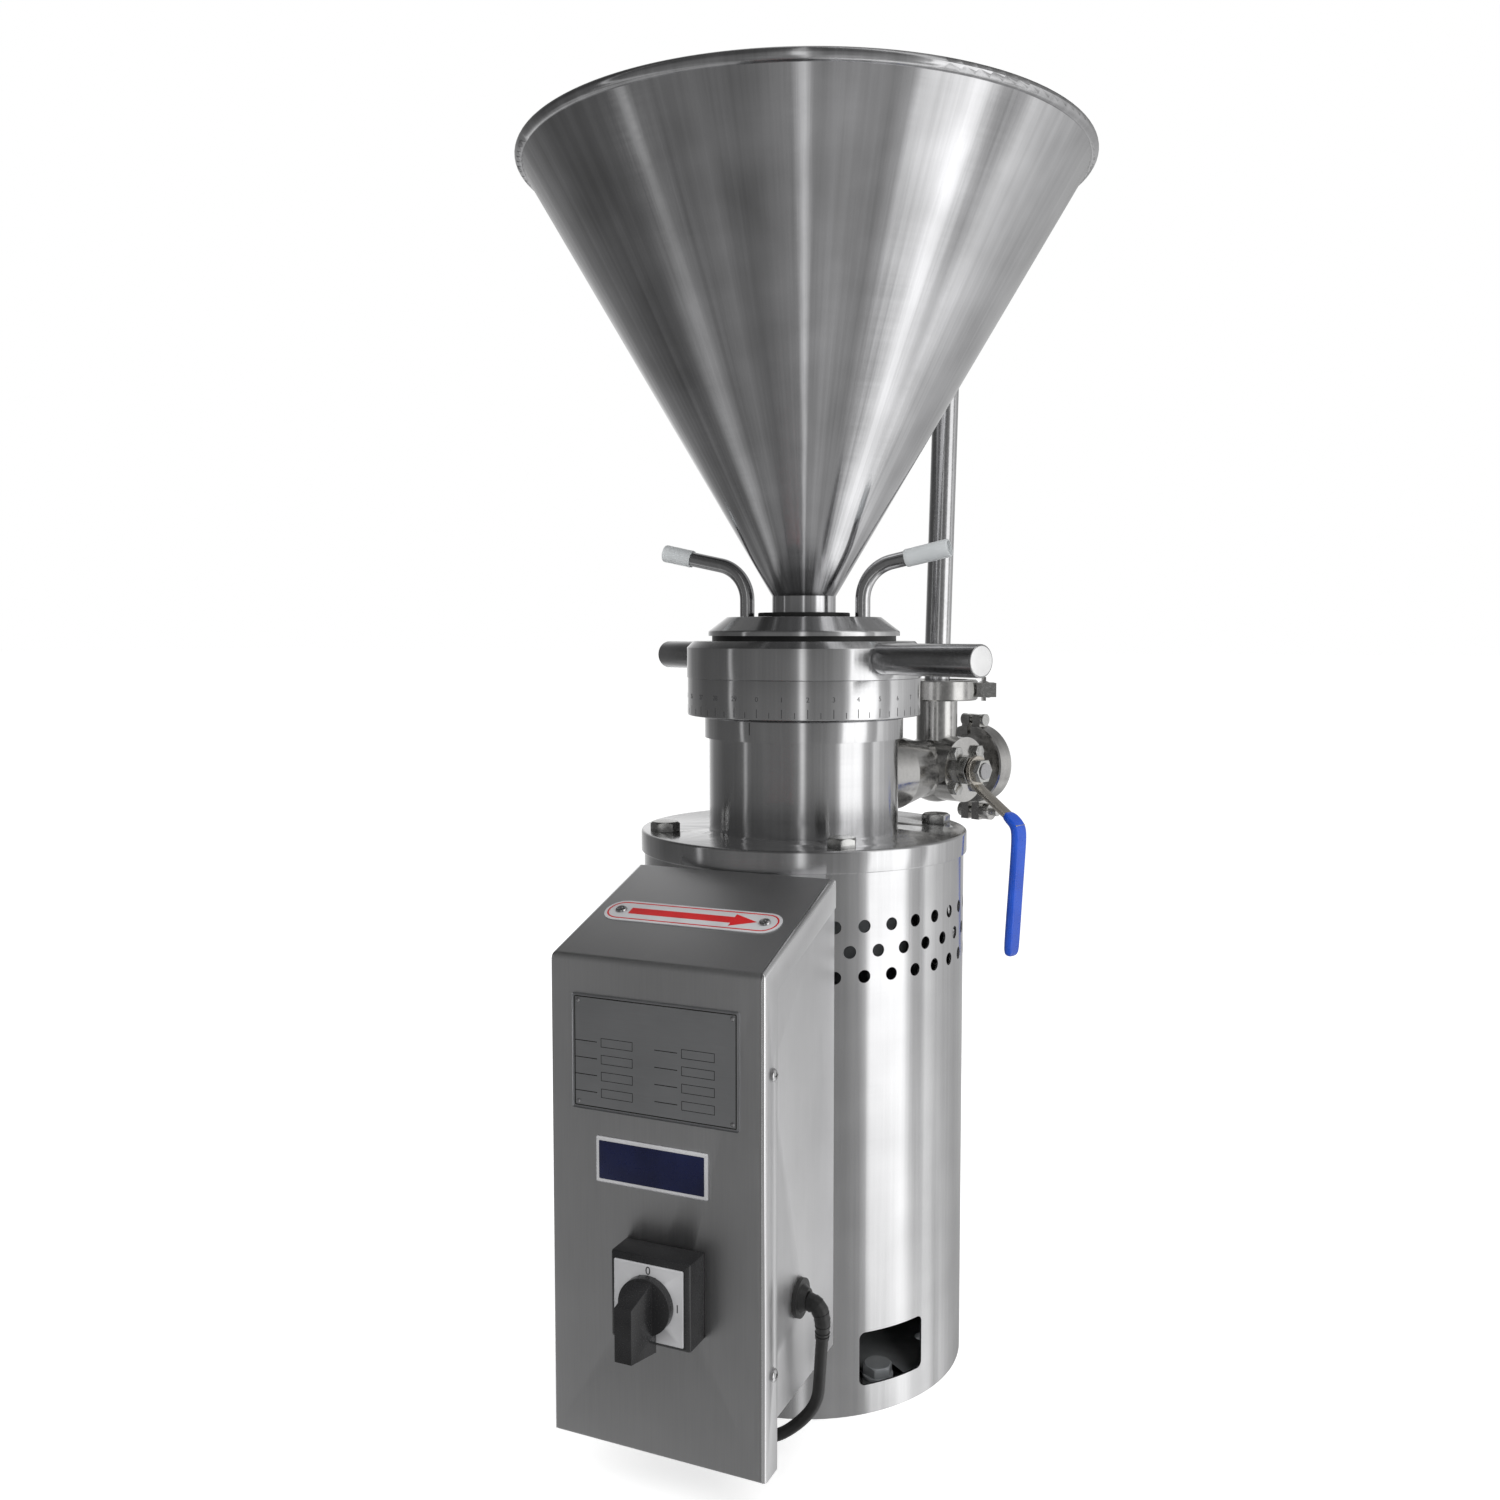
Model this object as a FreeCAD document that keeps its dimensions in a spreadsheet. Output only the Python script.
import FreeCAD, Part
import math
import os
import re
import Sketcher
from FreeCAD import Placement, Rotation, Vector

# Vertical stainless colloid mill for nut butter. Millimetres, +Z up.
# Origin: centre of the base plate's underside. The control cabinet faces -Y.
# An azimuth is measured from -Y towards +X, in degrees.

# Driving sizes: name, value, what it is
SIZES = [
    # Fits shared by many pieces
    ("running_gap", 0.05, "radial clearance of turning and sliding fits"),
    ("seat_gap", 0.2, "radial clearance of pieces that are only dropped in"),
    ("cut_past", 8.0, "how far a cutter runs past the sheet it opens"),
    # Shroud and base
    ("shroud_radius", 108.0, "outside radius of the motor shroud"),
    ("shroud_wall", 1.5, "sheet thickness of the shroud"),
    ("shroud_height", 341.0, "shroud height, floor to flange"),
    ("base_thickness", 8.0, "base plate"),
    ("lug_thickness", 4.5, "welded foot lugs inside the shroud"),
    ("lug_width", 32.0, "width of a foot lug"),
    ("lug_reach", 24.0, "reach of a foot lug from the shroud wall"),
    ("base_bolt_azimuth", 54.0, "first base bolt, seen in the window"),
    ("base_bolt_circle", 91.0, "radius of the base bolts"),
    ("anchor_circle", 84.0, "radius of the four free anchor holes"),
    ("anchor_hole_radius", 5.5, "anchor holes for M10"),
    ("head_ring_height", 12.0, "reinforcing ring inside the shroud's top"),
    ("head_ring_reach", 22.0, "radial width of that ring"),
    ("vent_radius", 4.0, "vent hole"),
    ("vent_pitch", 10.0, "angle between vent holes"),
    ("vent_first", 32.4, "azimuth of the first vent hole"),
    ("vent_drop", 33.0, "top vent row below the shroud's top"),
    ("vent_row_gap", 15.5, "height between vent rows"),
    ("vent_rows", 3, "rows of vent holes"),
    ("vent_columns", 10, "vent holes in a row, on each side"),
    ("window_angle", 25.5, "angle that the access window spans"),
    ("window_bottom", 18.5, "lower edge of the window"),
    ("window_height", 34.0, "height of the window"),
    ("window_corner", 4.0, "corner radius of the window"),
    # Top flange
    ("flange_radius", 110.0, "top flange"),
    ("flange_thickness", 14.0, "top flange"),
    ("flange_spigot", 6.0, "depth of the flange's spigot inside the shroud"),
    ("flange_bore", 32.0, "radius of the flange's bore"),
    ("flange_bolt_circle", 95.0, "radius of the flange bolts"),
    ("flange_bolt_azimuth", 36.5, "first flange bolt"),
    ("edge_break", 1.0, "chamfer on turned edges"),
    # Fasteners
    ("bolt_radius", 5.0, "M10 shank"),
    ("bolt_flats", 17.0, "M10 hex head across flats"),
    ("bolt_head", 6.4, "M10 head height"),
    ("washer_radius", 10.0, "M10 washer"),
    ("washer_thickness", 2.0, "M10 washer"),
    ("screw_radius", 4.0, "M8 shank"),
    ("screw_head_radius", 6.5, "M8 socket head"),
    ("screw_head", 8.0, "M8 socket head height"),
    ("screw_circle", 58.0, "radius of the screws that hold the mill body"),
    # Mill body
    ("body_radius", 64.0, "outside of the mill body"),
    ("body_height", 61.6, "plain part of the mill body"),
    ("body_floor", 10.0, "floor of the grinding chamber"),
    ("collar_radius", 67.0, "collar below the scale ring"),
    ("collar_height", 14.1, "collar"),
    ("spigot_radius", 60.0, "threaded spigot that the ring turns on"),
    ("spigot_height", 39.3, "spigot"),
    # Adjusting ring
    ("ring_lift_gap", 1.0, "room under the scale ring for the finest setting"),
    ("scale_radius", 78.5, "scale ring"),
    ("scale_height", 25.1, "scale ring"),
    ("ring_radius", 79.0, "adjusting ring"),
    ("ring_height", 24.2, "adjusting ring"),
    ("ring_chamfer", 4.4, "chamfer on the adjusting ring's top"),
    ("web_thickness", 4.4, "inner web that lifts the feed cover"),
    ("handle_radius", 10.0, "bar handle"),
    ("handle_reach", 162.0, "handle end from the axis"),
    ("handle_seat", 75.0, "handle root from the axis"),
    ("handle_azimuth", 62.0, "right-hand handle"),
    ("handle_drop", 11.0, "handle axis below the ring's top"),
    ("stud_radius", 6.0, "threaded stud on a handle"),
    ("stud_length", 9.0, "threaded stud on a handle"),
    # Feed cover and what it carries
    ("washer_ring", 3.4, "black thrust washer between ring and cover"),
    ("washer_inset", 2.5, "edge of that washer inside the cover's edge"),
    ("cover_radius", 64.5, "feed cover"),
    ("cover_height", 12.5, "feed cover above the thrust washer"),
    ("cover_side", 3.0, "upright edge of the feed cover"),
    ("cover_slope", 12.5, "inward run of the feed cover's sloped shoulder"),
    ("cover_round", 1.5, "rounding of the feed cover's edges"),
    ("neck_radius", 54.0, "neck of the feed cover inside the web"),
    ("skirt_radius", 52.0, "skirt that slides in the mill body"),
    ("skirt_bottom", 55.0, "skirt's lower edge above the flange"),
    ("retainer_radius", 57.5, "retaining ring under the web"),
    ("retainer_height", 4.4, "retaining ring"),
    ("stator_radius", 46.0, "outside of the stator"),
    ("stator_height", 50.0, "stator"),
    ("throat_radius", 20.0, "feed throat"),
    ("throat_step", 13.0, "straight throat below the hopper's neck"),
    ("seal_section", 1.35, "radius of the skirt's O-ring section"),
    ("seal_depth", 2.8, "groove depth of the skirt's O-ring"),
    ("key_width", 6.0, "guide key"),
    ("key_height", 20.0, "guide key"),
    ("key_depth", 3.0, "guide key in each wall"),
    ("key_slot_spare", 6.0, "room above and below a key in its slot"),
    # Rotor and stator teeth
    ("rotor_top", 24.0, "rotor radius at its top"),
    ("rotor_bottom", 39.0, "rotor radius at its bottom"),
    ("rotor_height", 52.0, "rotor"),
    ("grind_gap", 0.9, "radial gap between rotor and stator at rest"),
    ("coarse_count", 8, "coarse feed grooves"),
    ("coarse_depth", 5.0, "coarse feed grooves"),
    ("coarse_width", 8.0, "coarse feed grooves"),
    ("coarse_twist", 20.0, "lean of a coarse groove, degrees"),
    ("fine_count", 30, "fine grinding grooves"),
    ("fine_depth", 1.8, "fine grinding grooves"),
    ("fine_width", 4.0, "fine grinding grooves"),
    ("fine_twist", 12.0, "lean of a fine groove, degrees"),
    ("fine_share", 26.0, "height of the fine zone"),
    ("groove_root", 0.6, "width at a groove's root, share of its mouth"),
    ("groove_end", 0.4, "depth at a fine groove's upper end, share of its depth"),
    ("groove_start", 0.3, "depth where a coarse groove begins"),
    ("rotor_overlap", 8.0, "coarse rotor grooves reach this far into the fine zone"),
    ("stator_short", 6.0, "stator's fine zone ends this far below the rotor's"),
    ("stator_overlap", 6.0, "coarse stator grooves reach this far into the fine zone"),
    # Shaft and motor
    ("shaft_radius", 12.5, "shaft in its bearings"),
    ("shaft_core", 14.0, "shaft between its bearings"),
    ("shaft_nose", 10.0, "shaft end that carries the rotor"),
    ("nut_radius", 15.0, "feed nut on top of the rotor"),
    ("nut_height", 14.0, "feed nut"),
    ("nut_collar", 5.6, "plain part of the feed nut"),
    ("nut_inset", 5.0, "nose inside the collar"),
    ("nut_nose", 6.0, "nose above the feed nut"),
    ("vane_count", 3, "vanes on the feed nut"),
    ("vane_width", 3.0, "vane"),
    ("vane_reach", 17.5, "vane tip from the axis"),
    ("vane_height", 12.6, "vane"),
    ("bearing_radius", 26.0, "bearing 6205"),
    ("bearing_width", 15.0, "bearing 6205"),
    ("race_width", 3.0, "bearing race"),
    ("race_inset", 0.8, "bearing shield below its races"),
    ("motor_radius", 74.0, "motor frame"),
    ("motor_wall", 8.0, "motor frame"),
    ("motor_rib", 6.0, "height of a cooling rib"),
    ("motor_rib_width", 3.0, "cooling rib"),
    ("motor_rib_count", 20, "cooling ribs"),
    ("motor_bottom", 84.0, "lower end of the motor frame"),
    ("motor_headroom", 23.0, "motor frame below the shroud's top"),
    ("core_bore", 45.0, "bore of the stator stack"),
    ("core_half", 70.0, "half height of the stator stack"),
    ("winding_head", 20.0, "height of an end winding"),
    ("winding_gap", 5.0, "end winding clear of the frame"),
    ("air_gap", 0.6, "air gap of the motor"),
    ("shield_thickness", 17.0, "motor end shield"),
    ("fan_radius", 62.0, "cooling fan"),
    ("fan_height", 18.0, "cooling fan"),
    ("fan_drop", 5.0, "fan below the lower end shield"),
    ("fan_blades", 8, "blades of the fan"),
    ("fan_hub_radius", 18.5, "fan hub"),
    ("fan_root", 16.5, "blade root from the axis"),
    ("fan_plate", 2.0, "fan plate and blades"),
    ("seat_radius", 22.0, "stationary seal seat"),
    ("seal_radius", 20.0, "rotary seal"),
    ("seal_height", 30.0, "rotary seal"),
    ("seal_face", 7.0, "sliding face of the rotary seal"),
    ("seal_fold", 3.0, "height of half a bellows fold"),
    # Hopper
    ("hopper_wall", 1.5, "hopper sheet"),
    ("hopper_neck", 21.5, "hopper neck"),
    ("neck_height", 11.0, "neck above the gasket"),
    ("neck_socket", 8.0, "depth of the neck in the cover"),
    ("hopper_radius", 186.0, "outside of the cone at the rim"),
    ("cone_height", 279.0, "height of the cone"),
    ("bead_radius", 3.75, "rolled rim"),
    ("bead_rise", 1.5, "centre of the rolled rim above the cone's edge"),
    ("gasket_radius", 31.0, "hopper gasket"),
    ("gasket_thickness", 3.0, "hopper gasket"),
    # Water nozzles
    ("nozzle_offset", 42.0, "nozzle root from the axis"),
    ("nozzle_radius", 5.0, "nozzle tube"),
    ("nozzle_wall", 1.0, "nozzle tube"),
    ("nozzle_rise", 31.7, "height of the nozzle's bend above the cover"),
    ("nozzle_tip", 90.0, "tube end from the axis"),
    ("nozzle_tilt", 12.0, "upward tilt of the outer run, degrees"),
    ("nozzle_bend", 25.0, "bend radius"),
    ("nozzle_socket", 6.0, "depth of the tube in the cover"),
    ("hose_wall", 1.0, "clear hose stub"),
    ("hose_left_from", 84.0, "left hose stub starts"),
    ("hose_left_to", 105.0, "left hose stub ends"),
    ("hose_right_from", 72.0, "right hose stub starts"),
    ("hose_right_to", 101.0, "right hose stub ends"),
    # Discharge reducer and three-way valve
    ("valve_azimuth", 158.0, "direction of the discharge"),
    ("valve_reach", 143.0, "valve centre from the axis"),
    ("reducer_radius", 27.0, "reducer at the mill body"),
    ("reducer_end", 21.0, "reducer at the valve"),
    ("reducer_wall", 2.5, "reducer"),
    ("reducer_root", 48.0, "inner end of the reducer from the axis"),
    ("reducer_straight", 91.0, "end of the reducer's straight part from the axis"),
    ("ball_radius", 19.0, "valve ball"),
    ("ball_clear", 0.3, "room round the ball"),
    ("bore_radius", 12.0, "valve bore"),
    ("valve_shell", 26.0, "valve body"),
    ("port_hole", 20.0, "discharge hole in the mill body"),
    ("port_radius", 15.2, "tube of a valve port"),
    ("seat_ring", 15.5, "valve seat ring"),
    ("seat_start", 11.8, "inner face of a seat from the valve centre"),
    ("seat_end", 20.5, "outer face of a seat from the valve centre"),
    ("outlet_reach", 46.0, "outlet ferrule face from the valve centre"),
    ("riser_reach", 57.5, "upper ferrule face from the valve centre"),
    ("ferrule_radius", 25.25, "tri-clamp ferrule"),
    ("ferrule_rim", 2.85, "rim thickness of a ferrule"),
    ("ferrule_taper", 1.6, "height of the ferrule's sloped back"),
    ("ferrule_root", 22.85, "foot of that slope"),
    ("ferrule_gasket", 1.5, "gasket between two ferrules"),
    ("clamp_radius", 30.0, "clamp band"),
    ("clamp_width", 15.0, "clamp band"),
    ("clamp_ear", 13.0, "reach of a clamp ear"),
    ("clamp_split", 3.0, "gap between the clamp halves"),
    ("clamp_lug", 7.0, "ear beside the split"),
    ("clamp_lug_half", 5.25, "half height of an ear"),
    ("clamp_root", 6.0, "ears start this far inside the band"),
    ("clamp_tail", 7.8, "reach of the hinge ear"),
    ("clamp_bolt_seat", 6.5, "clamp bolt from the band"),
    ("clamp_pin_seat", 3.9, "hinge pin from the band"),
    ("clamp_bolt", 3.0, "clamp bolt radius"),
    ("clamp_bolt_head", 5.5, "clamp bolt head radius"),
    ("clamp_head_height", 3.5, "clamp bolt head"),
    ("clamp_bolt_spare", 14.0, "bolt beyond its ear"),
    ("wing_hub", 6.2, "wing nut hub radius"),
    ("wing_hub_height", 8.0, "wing nut hub"),
    ("wing_width", 7.0, "wing"),
    ("wing_reach", 9.0, "wing"),
    ("wing_thickness", 3.0, "wing"),
    ("pin_cap", 4.5, "hinge pin end"),
    ("pin_cap_height", 2.0, "hinge pin end"),
    ("riser_clamp_azimuth", 112.0, "direction of the riser clamp's bolt"),
    ("bonnet_radius", 24.0, "bonnet round the stem"),
    ("bonnet_face", 27.0, "bonnet face from the valve centre"),
    ("bonnet_bolt_circle", 18.0, "bonnet bolts"),
    ("bonnet_bolt", 2.5, "M5 shank radius"),
    ("bonnet_bolt_corner", 5.2, "M5 hex head corner"),
    ("bonnet_bolt_head", 4.0, "M5 head height"),
    ("bonnet_bolt_length", 6.0, "M5 shank"),
    ("stem_radius", 6.0, "valve stem"),
    ("tang_width", 5.0, "stem tang"),
    ("tang_depth", 4.0, "stem tang in the ball"),
    ("gland_height", 7.0, "packing nut"),
    ("gland_flats", 20.0, "packing nut across flats"),
    ("hub_gap", 2.0, "packing nut to lever"),
    ("lever_thickness", 3.0, "lever strip"),
    ("lever_width", 10.5, "lever strip"),
    ("lever_hub", 11.0, "lever hub"),
    ("lever_straight", 11.0, "lever runs straight this far below the stem"),
    ("lever_step_down", 26.0, "height of the lever's step"),
    ("lever_step_out", 38.0, "sideways offset of the lever's step"),
    ("lever_lean", 5.5, "lower end of the lever, back towards the valve"),
    ("lever_length", 130.0, "stem to the lever's end"),
    ("grip_wall", 2.0, "vinyl grip"),
    ("grip_start", 29.0, "stem to the upper end of the grip"),
    ("lever_nut_height", 6.0, "nut on the stem"),
    ("lever_nut_flats", 16.0, "nut on the stem across flats"),
    ("spout_length", 27.0, "outlet spout"),
    ("spout_radius", 12.7, "outlet spout"),
    ("spout_wall", 1.5, "outlet spout"),
    # Recirculation pipe, in the plane of the discharge
    ("pipe_radius", 9.5, "recirculation pipe"),
    ("pipe_wall", 1.5, "recirculation pipe"),
    ("pipe_knee_reach", 151.9, "where the pipe turns outwards, from the axis"),
    ("pipe_knee_drop", 89.95, "that knee below the hopper rim"),
    ("pipe_rim_reach", 207.0, "pipe outside the hopper rim, from the axis"),
    ("pipe_rim_drop", 4.95, "where it turns upright, below the hopper rim"),
    ("pipe_crook_rise", 55.05, "top run of the swan neck above the hopper rim"),
    ("pipe_drop_reach", 140.0, "falling end, from the axis"),
    ("pipe_mouth_drop", 13.95, "open end of the pipe below the hopper rim"),
    ("pipe_bend", 28.0, "bend radius of the swan neck"),
    ("pipe_rim_bend", 38.5, "bend radius beside the rim"),
    ("pipe_foot_bend", 300.0, "bend radius above the valve"),
    ("pipe_foot_straight", 25.0, "straight foot of the pipe"),
    ("pipe_soft_bend", 55.0, "bend radius of the knees"),
    # Cabinet
    ("cabinet_width", 131.7, "outside width of the cabinet cover"),
    ("cabinet_front", 214.6, "front face from the axis"),
    ("cabinet_back", 108.5, "back face from the axis"),
    ("cabinet_sheet", 1.5, "sheet thickness"),
    ("cover_bottom", 30.5, "lower edge of the cabinet cover"),
    ("cover_bend_drop", 33.5, "bend of the cover below the shroud's top"),
    ("cover_back", 110.6, "rear edge of the slope from the axis"),
    ("slope_rise", 0.3362, "rise of the slope per millimetre"),
    ("cover_return", 17.0, "side returns of the cover"),
    ("box_bottom", 57.0, "lower face of the cabinet box"),
    ("cover_fit", 0.2, "cover to box"),
    ("box_drop", 0.6, "rear edge of the box below the shroud's top"),
    ("side_screw_setback", 11.0, "side screws behind the front face"),
    ("side_screw_low", 86.4, "height of the lower side screws"),
    ("side_screw_high", 251.5, "height of the upper side screws"),
    ("side_screw_radius", 2.0, "M4 shank"),
    ("side_screw_length", 8.0, "M4 shank"),
    ("side_screw_head", 3.6, "M4 pan head radius"),
    ("side_screw_head_height", 2.2, "M4 pan head"),
    # Cam switch
    ("switch_offset", 6.4, "switch centre beside the middle"),
    ("switch_height", 128.5, "height of the switch"),
    ("switch_size", 48.0, "square front of the switch"),
    ("switch_depth", 19.0, "front frame"),
    ("switch_block", 44.0, "contact block behind the panel"),
    ("switch_block_depth", 46.0, "contact block"),
    ("switch_shaft", 4.0, "switch shaft"),
    ("switch_neck", 11.0, "neck of the contact block in the panel"),
    ("switch_bevel", 2.0, "bevel on the front edges"),
    ("shaft_depth", 10.0, "knob shaft inside the contact block"),
    ("inlay_thickness", 1.0, "engraved front plate"),
    ("knob_gap", 0.3, "knob above its plate"),
    ("knob_radius", 15.5, "knob disc"),
    ("knob_disc", 5.0, "knob disc thickness"),
    ("blade_width", 10.0, "knob blade"),
    ("blade_up", 15.0, "blade above the centre"),
    ("blade_down", 26.0, "blade below the centre"),
    ("blade_depth", 22.0, "blade in front of the disc"),
    ("blade_slope", 6.0, "setback of the blade's ends"),
    # Inside the cabinet
    ("capacitor_radius", 20.0, "motor run capacitor"),
    ("capacitor_height", 80.0, "motor run capacitor"),
    ("capacitor_level", 180.0, "lower end of the capacitor"),
    ("capacitor_offset", 34.0, "capacitor beside the middle"),
    ("capacitor_post", 8.0, "terminal post of the capacitor"),
    ("terminal_width", 60.0, "terminal block"),
    ("terminal_height", 16.0, "terminal block"),
    ("terminal_depth", 18.0, "terminal block"),
    ("terminal_level", 70.0, "lower edge of the terminal block"),
    ("terminal_count", 5, "terminals"),
    ("terminal_well", 3.5, "terminal well"),
    ("bushing_radius", 9.0, "lead bushing between box and shroud"),
    ("bushing_bore", 6.0, "lead bushing"),
    ("bushing_low", 115.0, "height of the lower lead bushing"),
    ("bushing_high", 245.0, "height of the upper lead bushing"),
    ("bushing_nut", 4.0, "lead bushing nut"),
    ("bushing_nut_radius", 13.0, "lead bushing nut"),
    # Power cord
    ("gland_setback", 163.0, "gland from the axis"),
    ("gland_level", 111.0, "height of the gland"),
    ("gland_radius", 11.0, "gland flange"),
    ("gland_flange", 2.5, "gland flange"),
    ("gland_length", 3.5, "gland cone"),
    ("gland_tip", 6.0, "gland cone's end"),
    ("gland_thread", 6.5, "gland thread radius"),
    ("gland_nut", 4.0, "gland nut"),
    ("cord_radius", 3.5, "power cord"),
    ("plug_radius", 18.5, "plug"),
    ("plug_length", 36.0, "plug"),
    ("plug_neck", 14.4, "strain relief of the plug"),
    ("plug_round", 1.5, "edge of the plug"),
    ("pin_radius", 2.4, "plug pin"),
    ("pin_length", 19.0, "plug pin"),
    ("pin_gap", 19.0, "between the plug pins"),
]

doc = FreeCAD.newDocument("ColloidMill")
sheet = doc.addObject("Spreadsheet::Sheet", "Sizes")
for row, (alias, value, note) in enumerate(SIZES, start=1):
    sheet.set(f"A{row}", alias)
    sheet.set(f"B{row}", str(value))
    sheet.setAlias(f"B{row}", alias)
    sheet.set(f"C{row}", note)
doc.recompute()

# Levels and places that follow from the driving sizes
DERIVED = {
    "inner_radius": "shroud_radius - shroud_wall",
    "base_radius": "inner_radius - seat_gap",
    "lug_top": "base_thickness + lug_thickness",
    "spigot_level": "shroud_height - flange_spigot",
    "head_ring_level": "spigot_level - head_ring_height",
    "body_level": "shroud_height + flange_thickness",
    "port_level": "body_level + body_height / 2",
    "collar_level": "body_level + body_height",
    "collar_top": "collar_level + collar_height",
    "spigot_top": "collar_top + spigot_height",
    "scale_level": "collar_top + ring_lift_gap",
    "ring_level": "scale_level + scale_height",
    "ring_top": "ring_level + ring_height",
    "web_level": "ring_top - web_thickness",
    "handle_level": "ring_top - handle_drop",
    "cover_level": "ring_top + running_gap + washer_ring",
    "cover_top": "cover_level + cover_height",
    "shoulder_level": "web_level - running_gap",
    "skirt_level": "body_level + skirt_bottom",
    "stator_top": "skirt_level + stator_height",
    "body_bore": "skirt_radius + running_gap",
    "chamber_level": "body_level + body_floor",
    "ring_bore": "spigot_radius + running_gap",
    "seal_level": "spigot_top - 9",
    "key_level": "collar_top - 5",
    "rotor_level": "skirt_level - 6",
    "rotor_head": "rotor_level + rotor_height",
    "gasket_level": "cover_top + gasket_thickness",
    "cone_level": "gasket_level + neck_height",
    "rim_level": "cone_level + cone_height",
    "shaft_bore": "shaft_radius + running_gap",
    "motor_top": "shroud_height - motor_headroom",
    "motor_middle": "(motor_bottom + motor_top) / 2",
    "pipe_knee_height": "rim_level - pipe_knee_drop",
    "pipe_rim_height": "rim_level - pipe_rim_drop",
    "pipe_crook_height": "rim_level + pipe_crook_rise",
    "pipe_drop_height": "rim_level - pipe_mouth_drop",
    "cover_bend": "shroud_height - cover_bend_drop",
    "box_half": "cabinet_width / 2 - cabinet_sheet - cover_fit",
}
ALIASES = {row[0] for row in SIZES}


def ex(text):
    """An expression in which each size or derived level points at the sheet."""
    def point(match):
        word = match.group(0)
        if word in DERIVED:
            return "(" + ex(DERIVED[word]) + ")"
        if word in ALIASES:
            return "Sizes." + word
        return word
    return re.sub(r"[A-Za-z_][A-Za-z_0-9]*", point, str(text))


def num(text):
    """The value of such an expression."""
    value = sheet.evalExpression(ex(text))
    return float(getattr(value, "Value", value))


def polar(radius, azimuth, height=0.0):
    angle = math.radians(azimuth)
    return Vector(radius * math.sin(angle), -radius * math.cos(angle), height)


def facing(azimuth):
    """Rotation that brings +X to the direction of an azimuth."""
    return Rotation(Vector(0, 0, 1), azimuth - 90.0)


# Sketches and features of a body
def origin_plane(body, role):
    return next(item for item in body.Origin.OriginFeatures if item.Role == role)


def new_body(label):
    body = doc.addObject("PartDesign::Body", label)
    body.Label = label
    return body


def new_sketch(body, name, role="XZ_Plane", height=None):
    sketch = body.newObject("Sketcher::SketchObject", name)
    sketch.AttachmentSupport = [(origin_plane(body, role), "")]
    sketch.MapMode = "FlatFace"
    if height is not None:
        sketch.setExpression("AttachmentOffset.Base.z", ex(height))
    return sketch


def bind(sketch, kind, refs, text):
    index = sketch.addConstraint(Sketcher.Constraint(kind, *refs, num(text)))
    sketch.setExpression(f"Constraints[{index}]", ex(text))


def bind_point(sketch, geo, pos, across, up):
    for kind, axis, text in (("DistanceX", -2, across), ("DistanceY", -1, up)):
        if str(text) == "0":
            sketch.addConstraint(Sketcher.Constraint("PointOnObject", geo, pos, axis))
        else:
            bind(sketch, kind, (-1, 1, geo, pos), text)


def outline(sketch, corners):
    """A closed outline of straight sides through corners given as expressions."""
    points = [Vector(num(across), num(up), 0) for across, up in corners]
    first = sketch.GeometryCount
    count = len(points)
    for i in range(count):
        sketch.addGeometry(Part.LineSegment(points[i], points[(i + 1) % count]), False)
    for i in range(count):
        follower = first + (i + 1) % count
        sketch.addConstraint(Sketcher.Constraint("Coincident", first + i, 2, follower, 1))
    for i, (across, up) in enumerate(corners):
        bind_point(sketch, first + i, 1, across, up)


def circle(sketch, across, up, radius):
    centre = Vector(num(across), num(up), 0)
    geo = sketch.addGeometry(Part.Circle(centre, Vector(0, 0, 1), num(radius)), False)
    bind(sketch, "Radius", (geo,), radius)
    bind_point(sketch, geo, 3, across, up)


def revolve(body, sketch, name="Turned"):
    turned = body.newObject("PartDesign::Revolution", name)
    turned.Profile = sketch
    turned.ReferenceAxis = (sketch, ["V_Axis"])
    turned.Angle = 360
    return turned


def pad(body, sketch, length, name="Pad", kind="PartDesign::Pad", both=False):
    step = body.newObject(kind, name)
    step.Profile = sketch
    step.setExpression("Length", ex(length))
    step.Midplane = both
    return step


def lathe(label, corners):
    """A piece turned about the vertical axis from its outline in radius and height."""
    body = new_body(label)
    sketch = new_sketch(body, label + "_outline")
    outline(sketch, corners)
    revolve(body, sketch)
    return body


def repeat(body, step, count, name="Round"):
    pattern = body.newObject("PartDesign::PolarPattern", name)
    pattern.Originals = [step]
    pattern.Axis = (origin_plane(body, "Z_Axis"), [""])
    pattern.Angle = 360
    pattern.setExpression("Occurrences", ex(count))
    body.Tip = pattern
    return pattern


# Part primitives
def place(item, x="0", y="0", z="0", turn=None):
    item.Placement = Placement(Vector(0, 0, 0), turn or Rotation())
    for axis, text in (("x", x), ("y", y), ("z", z)):
        item.setExpression("Placement.Base." + axis, ex(text))
    return item


def cylinder(name, radius, height, x="0", y="0", z="0", turn=None):
    item = doc.addObject("Part::Cylinder", name)
    item.setExpression("Radius", ex(radius))
    item.setExpression("Height", ex(height))
    return place(item, x, y, z, turn)


def box(name, length, width, height, x="0", y="0", z="0", turn=None):
    item = doc.addObject("Part::Box", name)
    for side, text in (("Length", length), ("Width", width), ("Height", height)):
        item.setExpression(side, ex(text))
    return place(item, x, y, z, turn)


def hexagon(name, flats, height, x="0", y="0", z="0", turn=None):
    item = doc.addObject("Part::Prism", name)
    item.Polygon = 6
    item.setExpression("Circumradius", ex(f"({flats}) / 2 / cos(30)"))
    item.setExpression("Height", ex(height))
    return place(item, x, y, z, turn)


def fuse(name, items):
    item = doc.addObject("Part::MultiFuse", name)
    item.Shapes = items
    item.Label = name
    return item


def cut(name, base, tool):
    item = doc.addObject("Part::Cut", name)
    item.Base = base
    item.Tool = tool
    item.Label = name
    return item


def group(name, items):
    item = doc.addObject("Part::Compound", name)
    item.Links = items
    item.Label = name
    return item


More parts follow.
